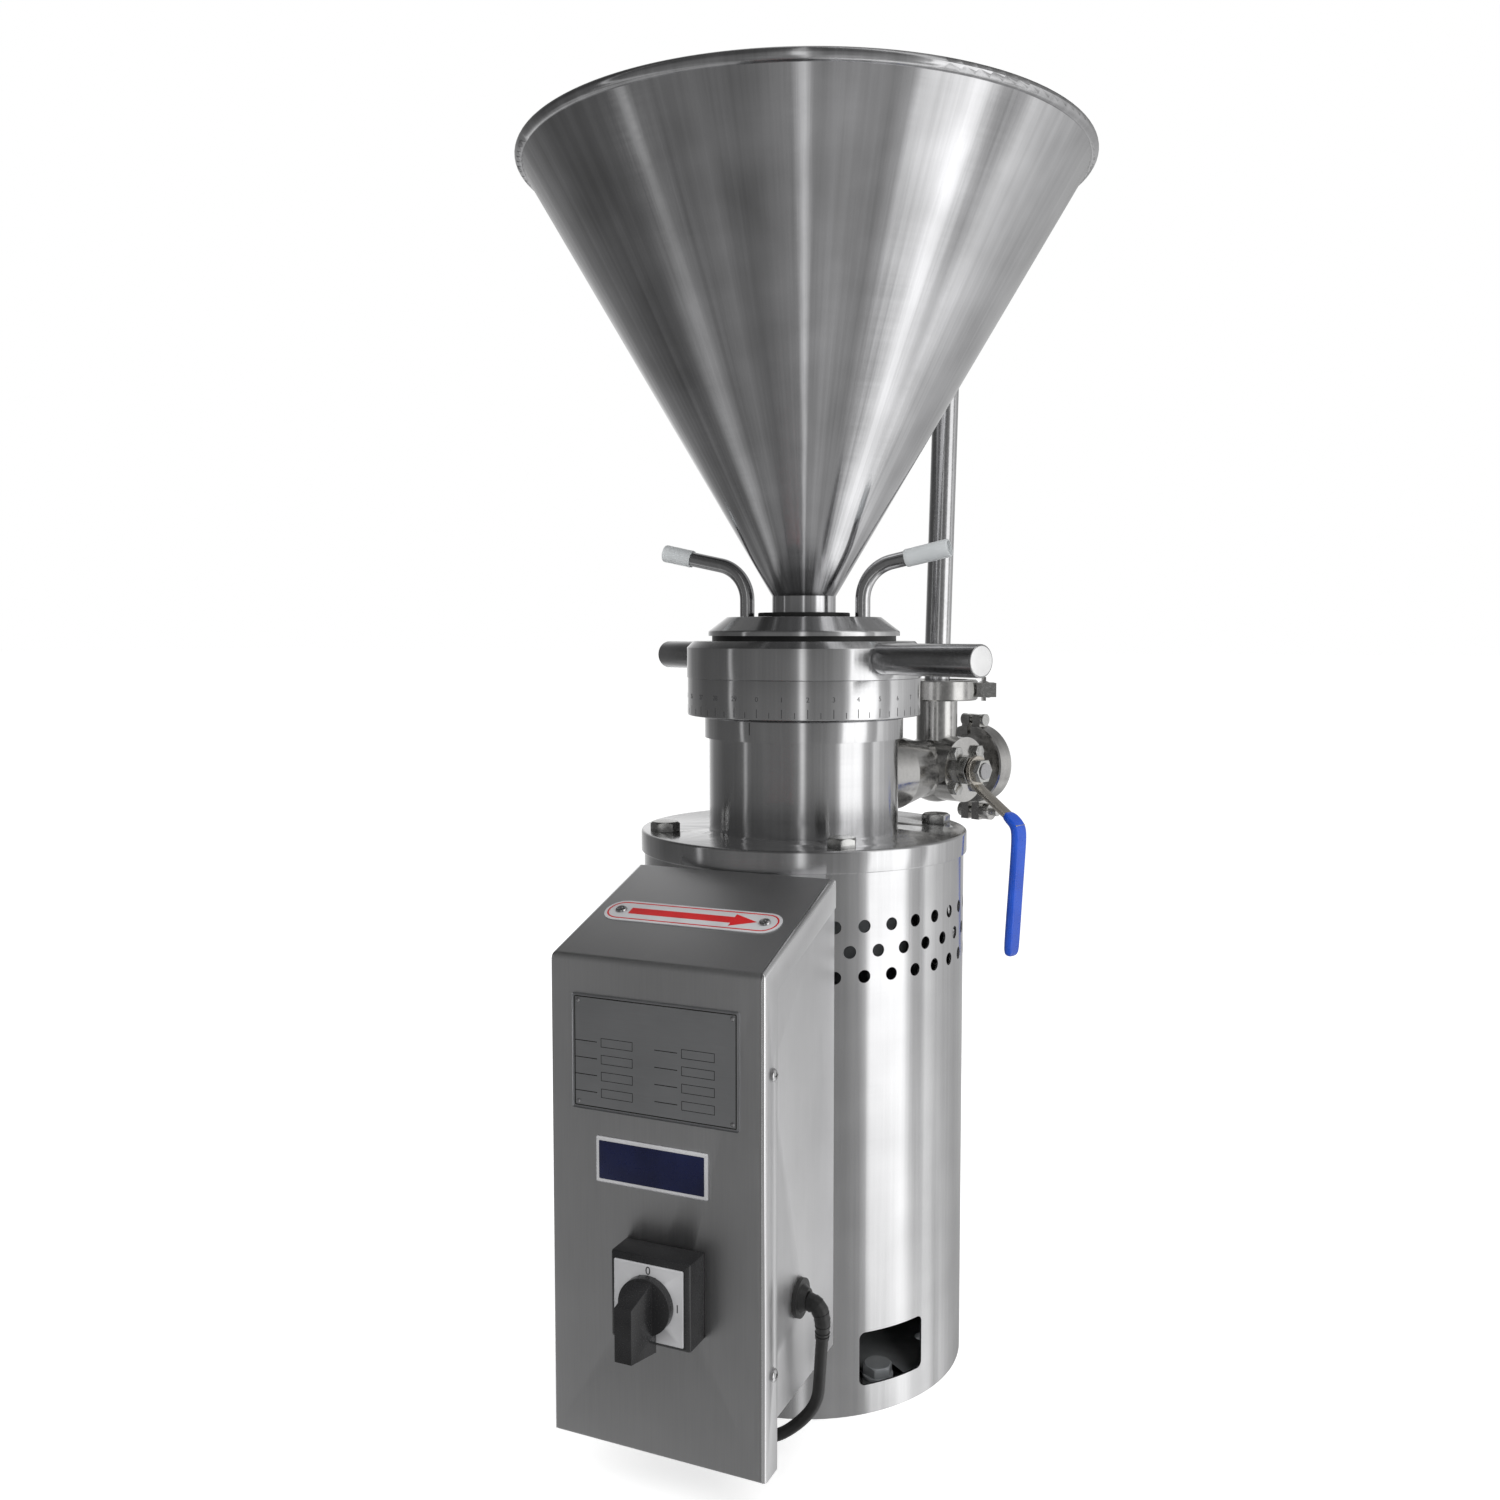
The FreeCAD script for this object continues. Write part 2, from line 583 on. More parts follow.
def feature(name, shape, placement=None):
    item = doc.addObject("Part::Feature", name)
    item.Shape = shape
    item.Label = name
    if placement is not None:
        item.Placement = placement
    return item


def around(radius, azimuth, count):
    """Centres of a bolt circle as expressions, evenly spaced."""
    for i in range(count):
        angle = f"({azimuth} + {i} * 360 / {count})"
        yield f"({radius}) * sin({angle})", f"0 - ({radius}) * cos({angle})"


def hex_bolt(name, x, y, seat, length, washer=False):
    """Hex bolt standing head up on a level seat, with or without a washer."""
    head_level = f"{seat} + washer_thickness" if washer else seat
    head = hexagon(name + "_head", "bolt_flats", "bolt_head", x, y, head_level)
    shank = cylinder(name + "_shank", "bolt_radius", f"({head_level}) - ({seat}) + ({length})",
                     x, y, f"({seat}) - ({length})")
    bolt = fuse(name, [head, shank])
    if not washer:
        return [bolt]
    disc = cylinder(name + "_disc", "washer_radius", "washer_thickness", x, y, seat)
    hole = cylinder(name + "_hole", "bolt_radius", "washer_thickness", x, y, seat)
    return [bolt, cut(name + "_washer", disc, hole)]


# Tubes along straight runs joined by tangent arcs
def rounded_path(points, radii):
    edges = []
    start = points[0]
    for i in range(1, len(points) - 1):
        before = (points[i - 1] - points[i]).normalize()
        after = (points[i + 1] - points[i]).normalize()
        turn = math.pi - before.getAngle(after)
        reach = radii[i - 1] * math.tan(turn / 2)
        enter = points[i] + before * reach
        leave = points[i] + after * reach
        middle = (before + after).normalize()
        crown = points[i] + middle * (radii[i - 1] / math.cos(turn / 2) - radii[i - 1])
        edges.append(Part.LineSegment(start, enter).toShape())
        edges.append(Part.Arc(enter, crown, leave).toShape())
        start = leave
    edges.append(Part.LineSegment(start, points[-1]).toShape())
    return Part.Wire(edges)


def round_bar(path, radius):
    first = path.Edges[0]
    start = first.valueAt(first.FirstParameter)
    heading = first.tangentAt(first.FirstParameter)
    section = Part.Wire([Part.makeCircle(radius, start, heading)])
    return path.makePipeShell([section], True, False)


def tube(path, radius, wall):
    return round_bar(path, radius).cut(round_bar(path, radius - wall))


def solid_ring(corners, base=Vector(0, 0, 0), axis=Vector(0, 0, 1), across=Vector(1, 0, 0)):
    """A ring turned about an axis from corners in radius and height, as numbers."""
    points = [base + across * radius + axis * height for radius, height in corners]
    face = Part.Face(Part.makePolygon(points + [points[0]]))
    return face.revolve(base, axis, 360)


NODES = []


def node(item):
    NODES.append(item)


# Base plate with its anchor holes and the tapped holes of the foot lugs
base = new_body("base_plate")
base_sketch = new_sketch(base, "base_outline", "XY_Plane")
circle(base_sketch, "0", "0", "base_radius")
for across, up in around("anchor_circle", "base_bolt_azimuth + 45", 4):
    circle(base_sketch, across, up, "anchor_hole_radius")
for across, up in around("base_bolt_circle", "base_bolt_azimuth", 4):
    circle(base_sketch, across, up, "bolt_radius")
pad(base, base_sketch, "base_thickness")
node(base)

base_bolts = []
for i, (x, y) in enumerate(around("base_bolt_circle", "base_bolt_azimuth", 4)):
    base_bolts += hex_bolt(f"base_bolt_{i}", x, y, "lug_top", "lug_top - 1", washer=True)
node(group("base_bolts", base_bolts))

# Shroud: rolled sheet with foot lugs, a head ring, vents and an access window
shroud_tube = lathe("shroud_tube", [("inner_radius", "0"), ("shroud_radius", "0"),
                                    ("shroud_radius", "shroud_height"),
                                    ("inner_radius", "shroud_height"),
                                    ("inner_radius", "spigot_level"),
                                    ("inner_radius - head_ring_reach", "spigot_level"),
                                    ("inner_radius - head_ring_reach", "head_ring_level"),
                                    ("inner_radius", "head_ring_level")])
barrel = Part.makeCylinder(num("shroud_radius - shroud_wall / 2"), num("shroud_height"))
lugs = []
for i in range(4):
    azimuth = num("base_bolt_azimuth") + 90 * i
    lug = Part.makeBox(num("lug_reach + shroud_wall"), num("lug_width"), num("lug_thickness"),
                       Vector(num("inner_radius - lug_reach"), -num("lug_width") / 2, 0))
    lug.Placement = Placement(Vector(0, 0, num("base_thickness")), facing(azimuth))
    lugs.append(lug.common(barrel))
foot_lugs = feature("foot_lugs", Part.makeCompound(lugs))
shroud_blank = fuse("shroud_blank", [shroud_tube, foot_lugs])


def radial_hole(radius, azimuth, height):
    start = polar(num("inner_radius - cut_past"), azimuth, height)
    return Part.makeCylinder(radius, num("shroud_wall + cut_past * 2"), start, polar(1, azimuth))


def access_window():
    width = 2 * num("shroud_radius") * math.sin(math.radians(num("window_angle / 2")))
    depth = num("shroud_wall + cut_past * 2")
    block = Part.makeBox(depth, width, num("window_height"))
    long_edges = [e for e in block.Edges if abs(e.tangentAt(e.FirstParameter).x) > 0.9]
    block = block.makeFillet(num("window_corner"), long_edges)
    block.translate(Vector(num("inner_radius - cut_past"), -width / 2, num("window_bottom")))
    block.rotate(Vector(0, 0, 0), Vector(0, 0, 1), num("base_bolt_azimuth") - 90)
    return block


shroud_holes = [access_window()]
for side in (1, -1):
    for row in range(int(num("vent_rows"))):
        shift = 0.5 * (row % 2)
        for column in range(int(num("vent_columns"))):
            azimuth = num("vent_first") + (column + shift) * num("vent_pitch")
            height = num("shroud_height - vent_drop") - row * num("vent_row_gap")
            shroud_holes.append(radial_hole(num("vent_radius"), side * azimuth, height))
for level in ("bushing_low", "bushing_high"):
    shroud_holes.append(radial_hole(num("bushing_radius"), 0, num(level)))
for x, y in around("base_bolt_circle", "base_bolt_azimuth", 4):
    spot = Vector(num(x), num(y), num("base_thickness"))
    shroud_holes.append(Part.makeCylinder(num("bolt_radius"), num("lug_thickness"), spot))
for x, y in around("flange_bolt_circle", "flange_bolt_azimuth", 4):
    spot = Vector(num(x), num(y), num("head_ring_level"))
    shroud_holes.append(Part.makeCylinder(num("bolt_radius"), num("head_ring_height"), spot))
shroud_cutter = feature("shroud_holes", Part.makeCompound(shroud_holes))
node(cut("shroud", shroud_blank, shroud_cutter))

# Top flange, drilled for its own bolts and for the screws of the mill body
flange = lathe("top_flange_blank", [("flange_bore", "spigot_level"),
                                    ("inner_radius - seat_gap", "spigot_level"),
                                    ("inner_radius - seat_gap", "shroud_height"),
                                    ("flange_radius", "shroud_height"),
                                    ("flange_radius", "body_level - edge_break"),
                                    ("flange_radius - edge_break", "body_level"),
                                    ("flange_bore", "body_level")])
flange_cutters = []
for i, (x, y) in enumerate(around("flange_bolt_circle", "flange_bolt_azimuth", 4)):
    flange_cutters.append(cylinder(f"flange_hole_{i}", "bolt_radius",
                                   "flange_thickness + flange_spigot", x, y, "spigot_level"))
for i, (x, y) in enumerate(around("screw_circle", "flange_bolt_azimuth", 4)):
    flange_cutters.append(cylinder(f"screw_hole_{i}", "screw_radius",
                                   "flange_thickness + flange_spigot", x, y, "spigot_level"))
    flange_cutters.append(cylinder(f"screw_sink_{i}", "screw_head_radius",
                                   "screw_head", x, y, "spigot_level"))
node(cut("top_flange", flange, fuse("flange_holes", flange_cutters)))

flange_bolts = []
for i, (x, y) in enumerate(around("flange_bolt_circle", "flange_bolt_azimuth", 4)):
    flange_bolts += hex_bolt(f"flange_bolt_{i}", x, y, "body_level",
                             "flange_thickness + flange_spigot + head_ring_height")
node(group("flange_bolts", flange_bolts))

body_screws = []
for i, (x, y) in enumerate(around("screw_circle", "flange_bolt_azimuth", 4)):
    head = cylinder(f"body_screw_head_{i}", "screw_head_radius", "screw_head",
                    x, y, "spigot_level")
    shank = cylinder(f"body_screw_shank_{i}", "screw_radius",
                     "flange_thickness + flange_spigot + body_floor - 2", x, y, "spigot_level")
    body_screws.append(fuse(f"body_screw_{i}", [head, shank]))
node(group("body_screws", body_screws))

# Mill body: chamber, collar and the spigot that carries the adjusting ring
body_blank = lathe("mill_body_blank", [("seat_radius", "body_level"),
                                       ("body_radius", "body_level"),
                                       ("body_radius", "collar_level"),
                                       ("collar_radius", "collar_level"),
                                       ("collar_radius", "collar_top - edge_break"),
                                       ("collar_radius - edge_break", "collar_top"),
                                       ("spigot_radius", "collar_top"),
                                       ("spigot_radius", "spigot_top"),
                                       ("body_bore", "spigot_top"),
                                       ("body_bore", "chamber_level"),
                                       ("seat_radius", "chamber_level")])
body_cutters = [cylinder("port_bore", "port_hole", "body_radius",
                         z="port_level", turn=facing(num("valve_azimuth"))
                         * Rotation(Vector(0, 1, 0), 90))]
for i, (x, y) in enumerate(around("screw_circle", "flange_bolt_azimuth", 4)):
    body_cutters.append(cylinder(f"body_tap_{i}", "screw_radius", "body_floor - 2",
                                 x, y, "body_level"))
for i, side in enumerate((1, -1)):
    body_cutters.append(box(f"body_keyway_{i}", "key_depth * 2", "key_width", "key_height",
                            f"{side} * body_bore - key_depth", "0 - key_width / 2",
                            "key_level - key_height / 2"))
node(cut("mill_body", body_blank, fuse("body_holes", body_cutters)))

guide_keys = []
for i, side in enumerate((1, -1)):
    guide_keys.append(box(f"guide_key_{i}", "key_depth * 2", "key_width", "key_height",
                          f"{side} * body_bore - key_depth", "0 - key_width / 2",
                          "key_level - key_height / 2"))
node(group("guide_keys", guide_keys))

# Feed cover: sloped shoulder, neck, sliding skirt, hopper socket and feed throat
cover_blank = new_body("feed_cover_blank")
cover_sketch = new_sketch(cover_blank, "feed_cover_outline")
outline(cover_sketch, [("throat_radius", "cover_top - neck_socket - throat_step"),
                       ("throat_radius", "cover_top - neck_socket"),
                       ("hopper_neck", "cover_top - neck_socket"),
                       ("hopper_neck", "cover_top"),
                       ("cover_radius - cover_slope", "cover_top"),
                       ("cover_radius", "cover_level + cover_side"),
                       ("cover_radius", "cover_level"),
                       ("neck_radius", "cover_level"),
                       ("neck_radius", "shoulder_level"),
                       ("skirt_radius", "shoulder_level"),
                       ("skirt_radius", "seal_level + seal_section"),
                       ("skirt_radius - seal_depth", "seal_level + seal_section"),
                       ("skirt_radius - seal_depth", "seal_level - seal_section"),
                       ("skirt_radius", "seal_level - seal_section"),
                       ("skirt_radius", "skirt_level"),
                       ("stator_radius", "skirt_level"),
                       ("stator_radius", "stator_top"),
                       ("rotor_top + 4", "stator_top")])
cover_turned = revolve(cover_blank, cover_sketch)
doc.recompute()


def rim_edge(shape, radius, level):
    """Name of the circular edge at a radius and a level."""
    for index, edge in enumerate(shape.Edges, start=1):
        curve = edge.Curve
        if not isinstance(curve, Part.Circle):
            continue
        if abs(curve.Radius - radius) < 1e-4 and abs(curve.Center.z - level) < 1e-4:
            return f"Edge{index}"
    raise ValueError(f"no edge of radius {radius} at {level}")


shoulder = cover_blank.newObject("PartDesign::Fillet", "Shoulder")
shoulder.Base = (cover_turned, [rim_edge(cover_turned.Shape, num(radius), num(level))
                                for radius, level in (("cover_radius - cover_slope", "cover_top"),
                                                      ("cover_radius", "cover_level + cover_side"))])
shoulder.setExpression("Radius", ex("cover_round"))
cover_cutters = []
for i, side in enumerate((1, -1)):
    cover_cutters.append(box(f"cover_keyway_{i}", "key_depth * 2 + running_gap * 2",
                             "key_width + running_gap * 2", "key_height + key_slot_spare * 2",
                             f"{side} * skirt_radius - key_depth - running_gap",
                             "0 - key_width / 2 - running_gap",
                             "key_level - key_height / 2 - key_slot_spare"))
    cover_cutters.append(cylinder(f"nozzle_hole_{i}", "nozzle_radius", "nozzle_socket",
                                  f"{side} * nozzle_offset", "0", "cover_top - nozzle_socket"))
node(cut("feed_cover", cover_blank, fuse("cover_holes", cover_cutters)))

seal_ring = new_body("cover_o_ring")
seal_sketch = new_sketch(seal_ring, "o_ring_section")
circle(seal_sketch, "skirt_radius - seal_section - running_gap", "seal_level",
       "seal_section - running_gap")
revolve(seal_ring, seal_sketch)
node(seal_ring)

node(lathe("thrust_washer", [("neck_radius + running_gap", "ring_top + running_gap"),
                             ("cover_radius - washer_inset", "ring_top + running_gap"),
                             ("cover_radius - washer_inset", "cover_level"),
                             ("neck_radius + running_gap", "cover_level")]))
node(lathe("retaining_ring", [("skirt_radius", "shoulder_level - retainer_height"),
                              ("retainer_radius", "shoulder_level - retainer_height"),
                              ("retainer_radius", "shoulder_level"),
                              ("skirt_radius", "shoulder_level")]))

# Adjusting ring with its web, the scale ring below it and the two bar handles
ring_blank = lathe("adjusting_ring_blank", [("ring_bore", "ring_level"),
                                            ("ring_radius", "ring_level"),
                                            ("ring_radius", "ring_top - ring_chamfer"),
                                            ("ring_radius - ring_chamfer", "ring_top"),
                                            ("neck_radius + running_gap", "ring_top"),
                                            ("neck_radius + running_gap", "web_level"),
                                            ("ring_bore", "web_level")])
ring_cutters = []
handles = []
for i, turn in enumerate((0, 180)):
    azimuth = num("handle_azimuth") + turn
    heading = facing(azimuth) * Rotation(Vector(0, 1, 0), 90)
    across = f"sin(handle_azimuth + {turn})"
    ahead = f"(0 - cos(handle_azimuth + {turn}))"
    for name, radius, start, end in (("bar", "handle_radius", "handle_seat", "handle_reach"),
                                     ("stud", "stud_radius", "handle_seat - stud_length",
                                      "handle_seat")):
        rod = cylinder(f"handle_{name}_{i}", radius, f"{end} - ({start})",
                       f"({start}) * {across}", f"({start}) * {ahead}", "handle_level", heading)
        well = cylinder(f"handle_{name}_well_{i}", radius, f"{end} - ({start})",
                        f"({start}) * {across}", f"({start}) * {ahead}", "handle_level", heading)
        handles.append(rod)
        ring_cutters.append(well)
node(cut("adjusting_ring", ring_blank, fuse("ring_holes", ring_cutters)))
node(group("ring_handles", [fuse("handle_right", handles[:2]),
                            fuse("handle_left", handles[2:])]))
node(lathe("scale_ring", [("ring_bore", "scale_level"),
                          ("scale_radius", "scale_level"),
                          ("scale_radius", "ring_level"),
                          ("ring_bore", "ring_level")]))


# Toothed rotor and stator
def rotor_radius(level):
    """Radius of the rotor's cone at a height above its lower face."""
    return f"(rotor_bottom + (rotor_top - rotor_bottom) * ({level}) / rotor_height)"


def groove_section(body, name, level, radius, inward, half_width, lean, spare):
    """Cross-section of a tapering groove, a trapezium leaning round the axis."""
    sketch = new_sketch(body, name, "XY_Plane", level)
    root = f"({radius} - ({inward}))"
    mouth = f"({radius} + ({spare}))"
    corners = []
    for reach, half in ((root, f"({half_width}) * groove_root"), (mouth, half_width),
                        (mouth, f"0 - ({half_width})"), (root, f"0 - ({half_width}) * groove_root")):
        corners.append((f"({reach}) * cos({lean}) - ({half}) * sin({lean})",
                        f"({reach}) * sin({lean}) + ({half}) * cos({lean})"))
    outline(sketch, corners)
    return sketch


def grooves(body, name, bottom, top, base_level, surface, depth, width, twist, count, inside):
    """Leaning grooves cut by a loft between two heights and repeated round the axis."""
    way = "0 - " if inside else ""
    spare = "0 - 2" if inside else "2"
    low = groove_section(body, name + "_low", f"{base_level} + ({bottom})", surface(bottom),
                         f"{way}({depth[0]})", f"({width}) / 2", "0", spare)
    high = groove_section(body, name + "_high", f"{base_level} + ({top})", surface(top),
                          f"{way}({depth[1]})", f"({width}) / 2", twist, spare)
    doc.recompute()
    loft = body.newObject("PartDesign::SubtractiveLoft", name)
    loft.Profile = low
    loft.Sections = [high]
    loft.Ruled = True
    doc.recompute()
    repeat(body, loft, count, name + "_round")
    doc.recompute()


rotor = lathe("rotor", [("shaft_nose", "rotor_level"),
                        ("rotor_bottom", "rotor_level"),
                        ("rotor_top", "rotor_head"),
                        ("shaft_nose", "rotor_head")])
doc.recompute()
solid_rotor_volume = rotor.Shape.Volume
grooves(rotor, "fine_teeth", "0 - 1", "fine_share", "rotor_level", rotor_radius,
        ("fine_depth", "fine_depth * groove_end"), "fine_width", "fine_twist", "fine_count", False)
grooves(rotor, "coarse_teeth", "fine_share - rotor_overlap", "rotor_height + 1", "rotor_level",
        rotor_radius, ("groove_start", "coarse_depth"), "coarse_width", "coarse_twist",
        "coarse_count", False)
node(rotor)


def stator_radius_at(level):
    """Bore of the stator at a height above its lower face."""
    return f"({rotor_radius(f'({level}) + skirt_level - rotor_level')} + grind_gap)"


stator = lathe("stator", [(stator_radius_at("0"), "skirt_level"),
                          ("stator_radius", "skirt_level"),
                          ("stator_radius", "stator_top"),
                          (stator_radius_at("stator_height"), "stator_top")])
doc.recompute()
solid_stator_volume = stator.Shape.Volume
grooves(stator, "fine_slots", "0 - 1", "fine_share - stator_short", "skirt_level", stator_radius_at,
        ("fine_depth", "fine_depth * groove_end"), "fine_width", "0 - fine_twist", "fine_count", True)
grooves(stator, "coarse_slots", "fine_share - stator_short - stator_overlap",
        "stator_height + 1", "skirt_level", stator_radius_at, ("groove_start", "coarse_depth"),
        "coarse_width", "0 - coarse_twist", "coarse_count", True)
node(stator)
print("rotor cut", round(solid_rotor_volume - rotor.Shape.Volume),
      "stator cut", round(solid_stator_volume - stator.Shape.Volume))

# Shaft and what turns with it
node(lathe("shaft", [("0", "motor_bottom - shield_thickness - fan_drop - fan_height - 4"),
                     ("shaft_radius", "motor_bottom - shield_thickness - fan_drop "
                                      "- fan_height - 4"),
                     ("shaft_radius", "motor_bottom + 0.5"),
                     ("shaft_core", "motor_bottom + 0.5"),
                     ("shaft_core", "motor_top - 0.5"),
                     ("shaft_radius", "motor_top - 0.5"),
                     ("shaft_radius", "rotor_level"),
                     ("shaft_nose", "rotor_level"),
                     ("shaft_nose", "rotor_head + nut_height - 2"),
                     ("0", "rotor_head + nut_height - 2")]))
nut_blank = lathe("feed_nut_blank", [("0", "rotor_head + nut_height - 2"),
                                     ("shaft_nose", "rotor_head + nut_height - 2"),
                                     ("shaft_nose", "rotor_head"),
                                     ("nut_radius", "rotor_head"),
                                     ("nut_radius", "rotor_head + nut_collar"),
                                     ("nut_radius - nut_inset", "rotor_head + nut_height + nut_nose"),
                                     ("0", "rotor_head + nut_height + nut_nose + 2")])
vanes = [nut_blank]
for i in range(int(num("vane_count"))):
    vane = box(f"feed_vane_{i}", "vane_reach", "vane_width", "vane_height", z="rotor_head",
               turn=Rotation(Vector(0, 0, 1), 360 * i / num("vane_count")))
    vanes.append(vane)
vane_core = cylinder("vane_core", "shaft_nose", "nut_height - 2", z="rotor_head")
node(cut("feed_nut", fuse("feed_nut_solid", vanes), vane_core))
node(lathe("motor_armature", [("shaft_core", "motor_middle - core_half"),
                              ("core_bore - air_gap", "motor_middle - core_half"),
                              ("core_bore - air_gap", "motor_middle + core_half"),
                              ("shaft_core", "motor_middle + core_half")]))
folds = []
for i in range(5):
    inset = "1" if i % 2 else "seal_fold"
    folds.append((f"seal_radius - {inset}",
                  f"chamber_level + seal_face + seal_fold * {i + 1}"))
node(lathe("rotary_seal", [("shaft_radius", "chamber_level + running_gap"),
                           ("seal_radius", "chamber_level + running_gap"),
                           ("seal_radius", "chamber_level + seal_face")] + folds +
                          [("seal_radius", "chamber_level + seal_face + seal_fold * 6"),
                           ("seal_radius", "chamber_level + seal_height"),
                           ("shaft_radius", "chamber_level + seal_height")]))
node(lathe("seal_seat", [("shaft_radius + 1", "body_level"),
                         ("seat_radius", "body_level"),
                         ("seat_radius", "chamber_level"),
                         ("shaft_radius + 1", "chamber_level")]))

fan_top = "motor_bottom - shield_thickness - fan_drop"
fan_parts = [lathe("fan_hub", [("shaft_radius", f"{fan_top} - fan_height"),
                               ("fan_hub_radius", f"{fan_top} - fan_height"),
                               ("fan_hub_radius", f"{fan_top} - fan_plate"),
                               ("fan_radius", f"{fan_top} - fan_plate"),
                               ("fan_radius", fan_top),
                               ("shaft_radius", fan_top)])]
for i in range(int(num("fan_blades"))):
    fan_parts.append(box(f"fan_blade_{i}", "fan_radius - fan_root", "fan_plate",
                         "fan_height - fan_plate - 1",
                         f"fan_root * cos({i} * 360 / fan_blades)",
                         f"fan_root * sin({i} * 360 / fan_blades)",
                         f"{fan_top} - fan_height + fan_plate",
                         Rotation(Vector(0, 0, 1), 360 * i / num("fan_blades"))))
node(fuse("cooling_fan", fan_parts))

# Motor frame, windings, end shields and bearings
frame = new_body("motor_frame")
frame_sketch = new_sketch(frame, "frame_outline", "XY_Plane", "motor_bottom")
circle(frame_sketch, "0", "0", "motor_radius")
circle(frame_sketch, "0", "0", "motor_radius - motor_wall")
pad(frame, frame_sketch, "motor_top - motor_bottom", "Barrel")
rib_sketch = new_sketch(frame, "rib_outline", "XY_Plane", "motor_bottom")
outline(rib_sketch, [("motor_radius - 1", "0 - motor_rib_width / 2"),
                     ("motor_radius + motor_rib", "0 - motor_rib_width / 2"),
                     ("motor_radius + motor_rib", "motor_rib_width / 2"),
                     ("motor_radius - 1", "motor_rib_width / 2")])
rib = pad(frame, rib_sketch, "motor_top - motor_bottom - shield_thickness * 2", "Rib")
doc.recompute()
repeat(frame, rib, "motor_rib_count", "Ribs")
node(frame)
node(lathe("motor_windings", [("core_bore", "motor_middle - core_half"),
                              ("core_bore + 2", "motor_middle - core_half"),
                              ("core_bore + 2", "motor_middle - core_half - winding_head"),
                              ("motor_radius - motor_wall - winding_gap",
                               "motor_middle - core_half - winding_head"),
                              ("motor_radius - motor_wall - winding_gap", "motor_middle - core_half"),
                              ("motor_radius - motor_wall", "motor_middle - core_half"),
                              ("motor_radius - motor_wall", "motor_middle + core_half"),
                              ("motor_radius - motor_wall - winding_gap", "motor_middle + core_half"),
                              ("motor_radius - motor_wall - winding_gap",
                               "motor_middle + core_half + winding_head"),
                              ("core_bore + 2", "motor_middle + core_half + winding_head"),
                              ("core_bore + 2", "motor_middle + core_half"),
                              ("core_bore", "motor_middle + core_half")]))
upper_shield = lathe("upper_shield", [("shaft_core + 3", "motor_top"),
                                      ("motor_radius", "motor_top"),
                                      ("motor_radius", "spigot_level"),
                                      ("bearing_radius", "spigot_level"),
                                      ("bearing_radius", "spigot_level - bearing_width"),
                                      ("shaft_core + 3", "spigot_level - bearing_width")])
lower_shield = lathe("lower_shield", [("shaft_bore + 3", "motor_bottom - shield_thickness"),
                                      ("motor_radius", "motor_bottom - shield_thickness"),
                                      ("motor_radius", "motor_bottom"),
                                      ("bearing_radius", "motor_bottom"),
                                      ("bearing_radius", "motor_bottom - bearing_width"),
                                      ("shaft_bore + 3", "motor_bottom - bearing_width")])
node(group("motor_end_shields", [upper_shield, lower_shield]))
bearings = []
for name, level in (("upper", "spigot_level - bearing_width"),
                    ("lower", "motor_bottom - bearing_width")):
    bearings.append(lathe(f"{name}_bearing", [("shaft_bore", level),
                                              ("bearing_radius", level),
                                              ("bearing_radius", f"{level} + bearing_width"),
                                              ("bearing_radius - race_width", f"{level} + bearing_width"),
                                              ("bearing_radius - race_width - 0.5",
                                               f"{level} + bearing_width - race_inset"),
                                              ("shaft_bore + race_width + 0.5",
                                               f"{level} + bearing_width - race_inset"),
                                              ("shaft_bore + race_width", f"{level} + bearing_width"),
                                              ("shaft_bore", f"{level} + bearing_width")]))
node(group("shaft_bearings", bearings))

# Hopper: neck, cone and rolled rim, standing on its gasket
hopper = new_body("hopper")
cone_sketch = new_sketch(hopper, "hopper_outline")
slant = "sqrt(pow(hopper_radius - hopper_neck; 2) + pow(cone_height; 2))"
level_wall = f"(hopper_wall * {slant} / cone_height)"
throat_rise = f"({level_wall} - hopper_wall) * cone_height / (hopper_radius - hopper_neck)"
outline(cone_sketch, [("hopper_neck - hopper_wall", "cover_top - neck_socket"),
                      ("hopper_neck", "cover_top - neck_socket"),
                      ("hopper_neck", "cone_level"),
                      ("hopper_radius", "rim_level"),
                      (f"hopper_radius - {level_wall}", "rim_level"),
                      ("hopper_neck - hopper_wall", f"cone_level + {throat_rise}")])
revolve(hopper, cone_sketch)
bead_sketch = new_sketch(hopper, "bead_outline")
circle(bead_sketch, "hopper_radius - hopper_wall / 2", "rim_level + bead_rise",
       "bead_radius")
revolve(hopper, bead_sketch, "Bead")
node(hopper)
node(lathe("hopper_gasket", [("hopper_neck", "cover_top"),
                             ("gasket_radius", "cover_top"),
                             ("gasket_radius - 1", "gasket_level"),
                             ("hopper_neck", "gasket_level")]))


# Water nozzles on the feed cover with their clear hose stubs
def nozzle_points(side):
    rise = num("cover_top + nozzle_rise")
    tip = num("nozzle_tip")
    foot = num("nozzle_offset")
    climb = (tip - foot) * math.tan(math.radians(num("nozzle_tilt")))
    return [Vector(side * foot, 0, num("cover_top - nozzle_socket")),
            Vector(side * foot, 0, rise), Vector(side * tip, 0, rise + climb)]


def hose_stub(side, start, end):
    foot, knee, tip = nozzle_points(side)
    heading = (tip - knee).normalize()
    begin = knee + heading * ((start - num("nozzle_offset")) / abs(heading.x))
    length = (end - start) / abs(heading.x)
    outer = Part.makeCylinder(num("nozzle_radius + hose_wall"), length, begin, heading)
    return outer.cut(Part.makeCylinder(num("nozzle_radius"), length, begin, heading))


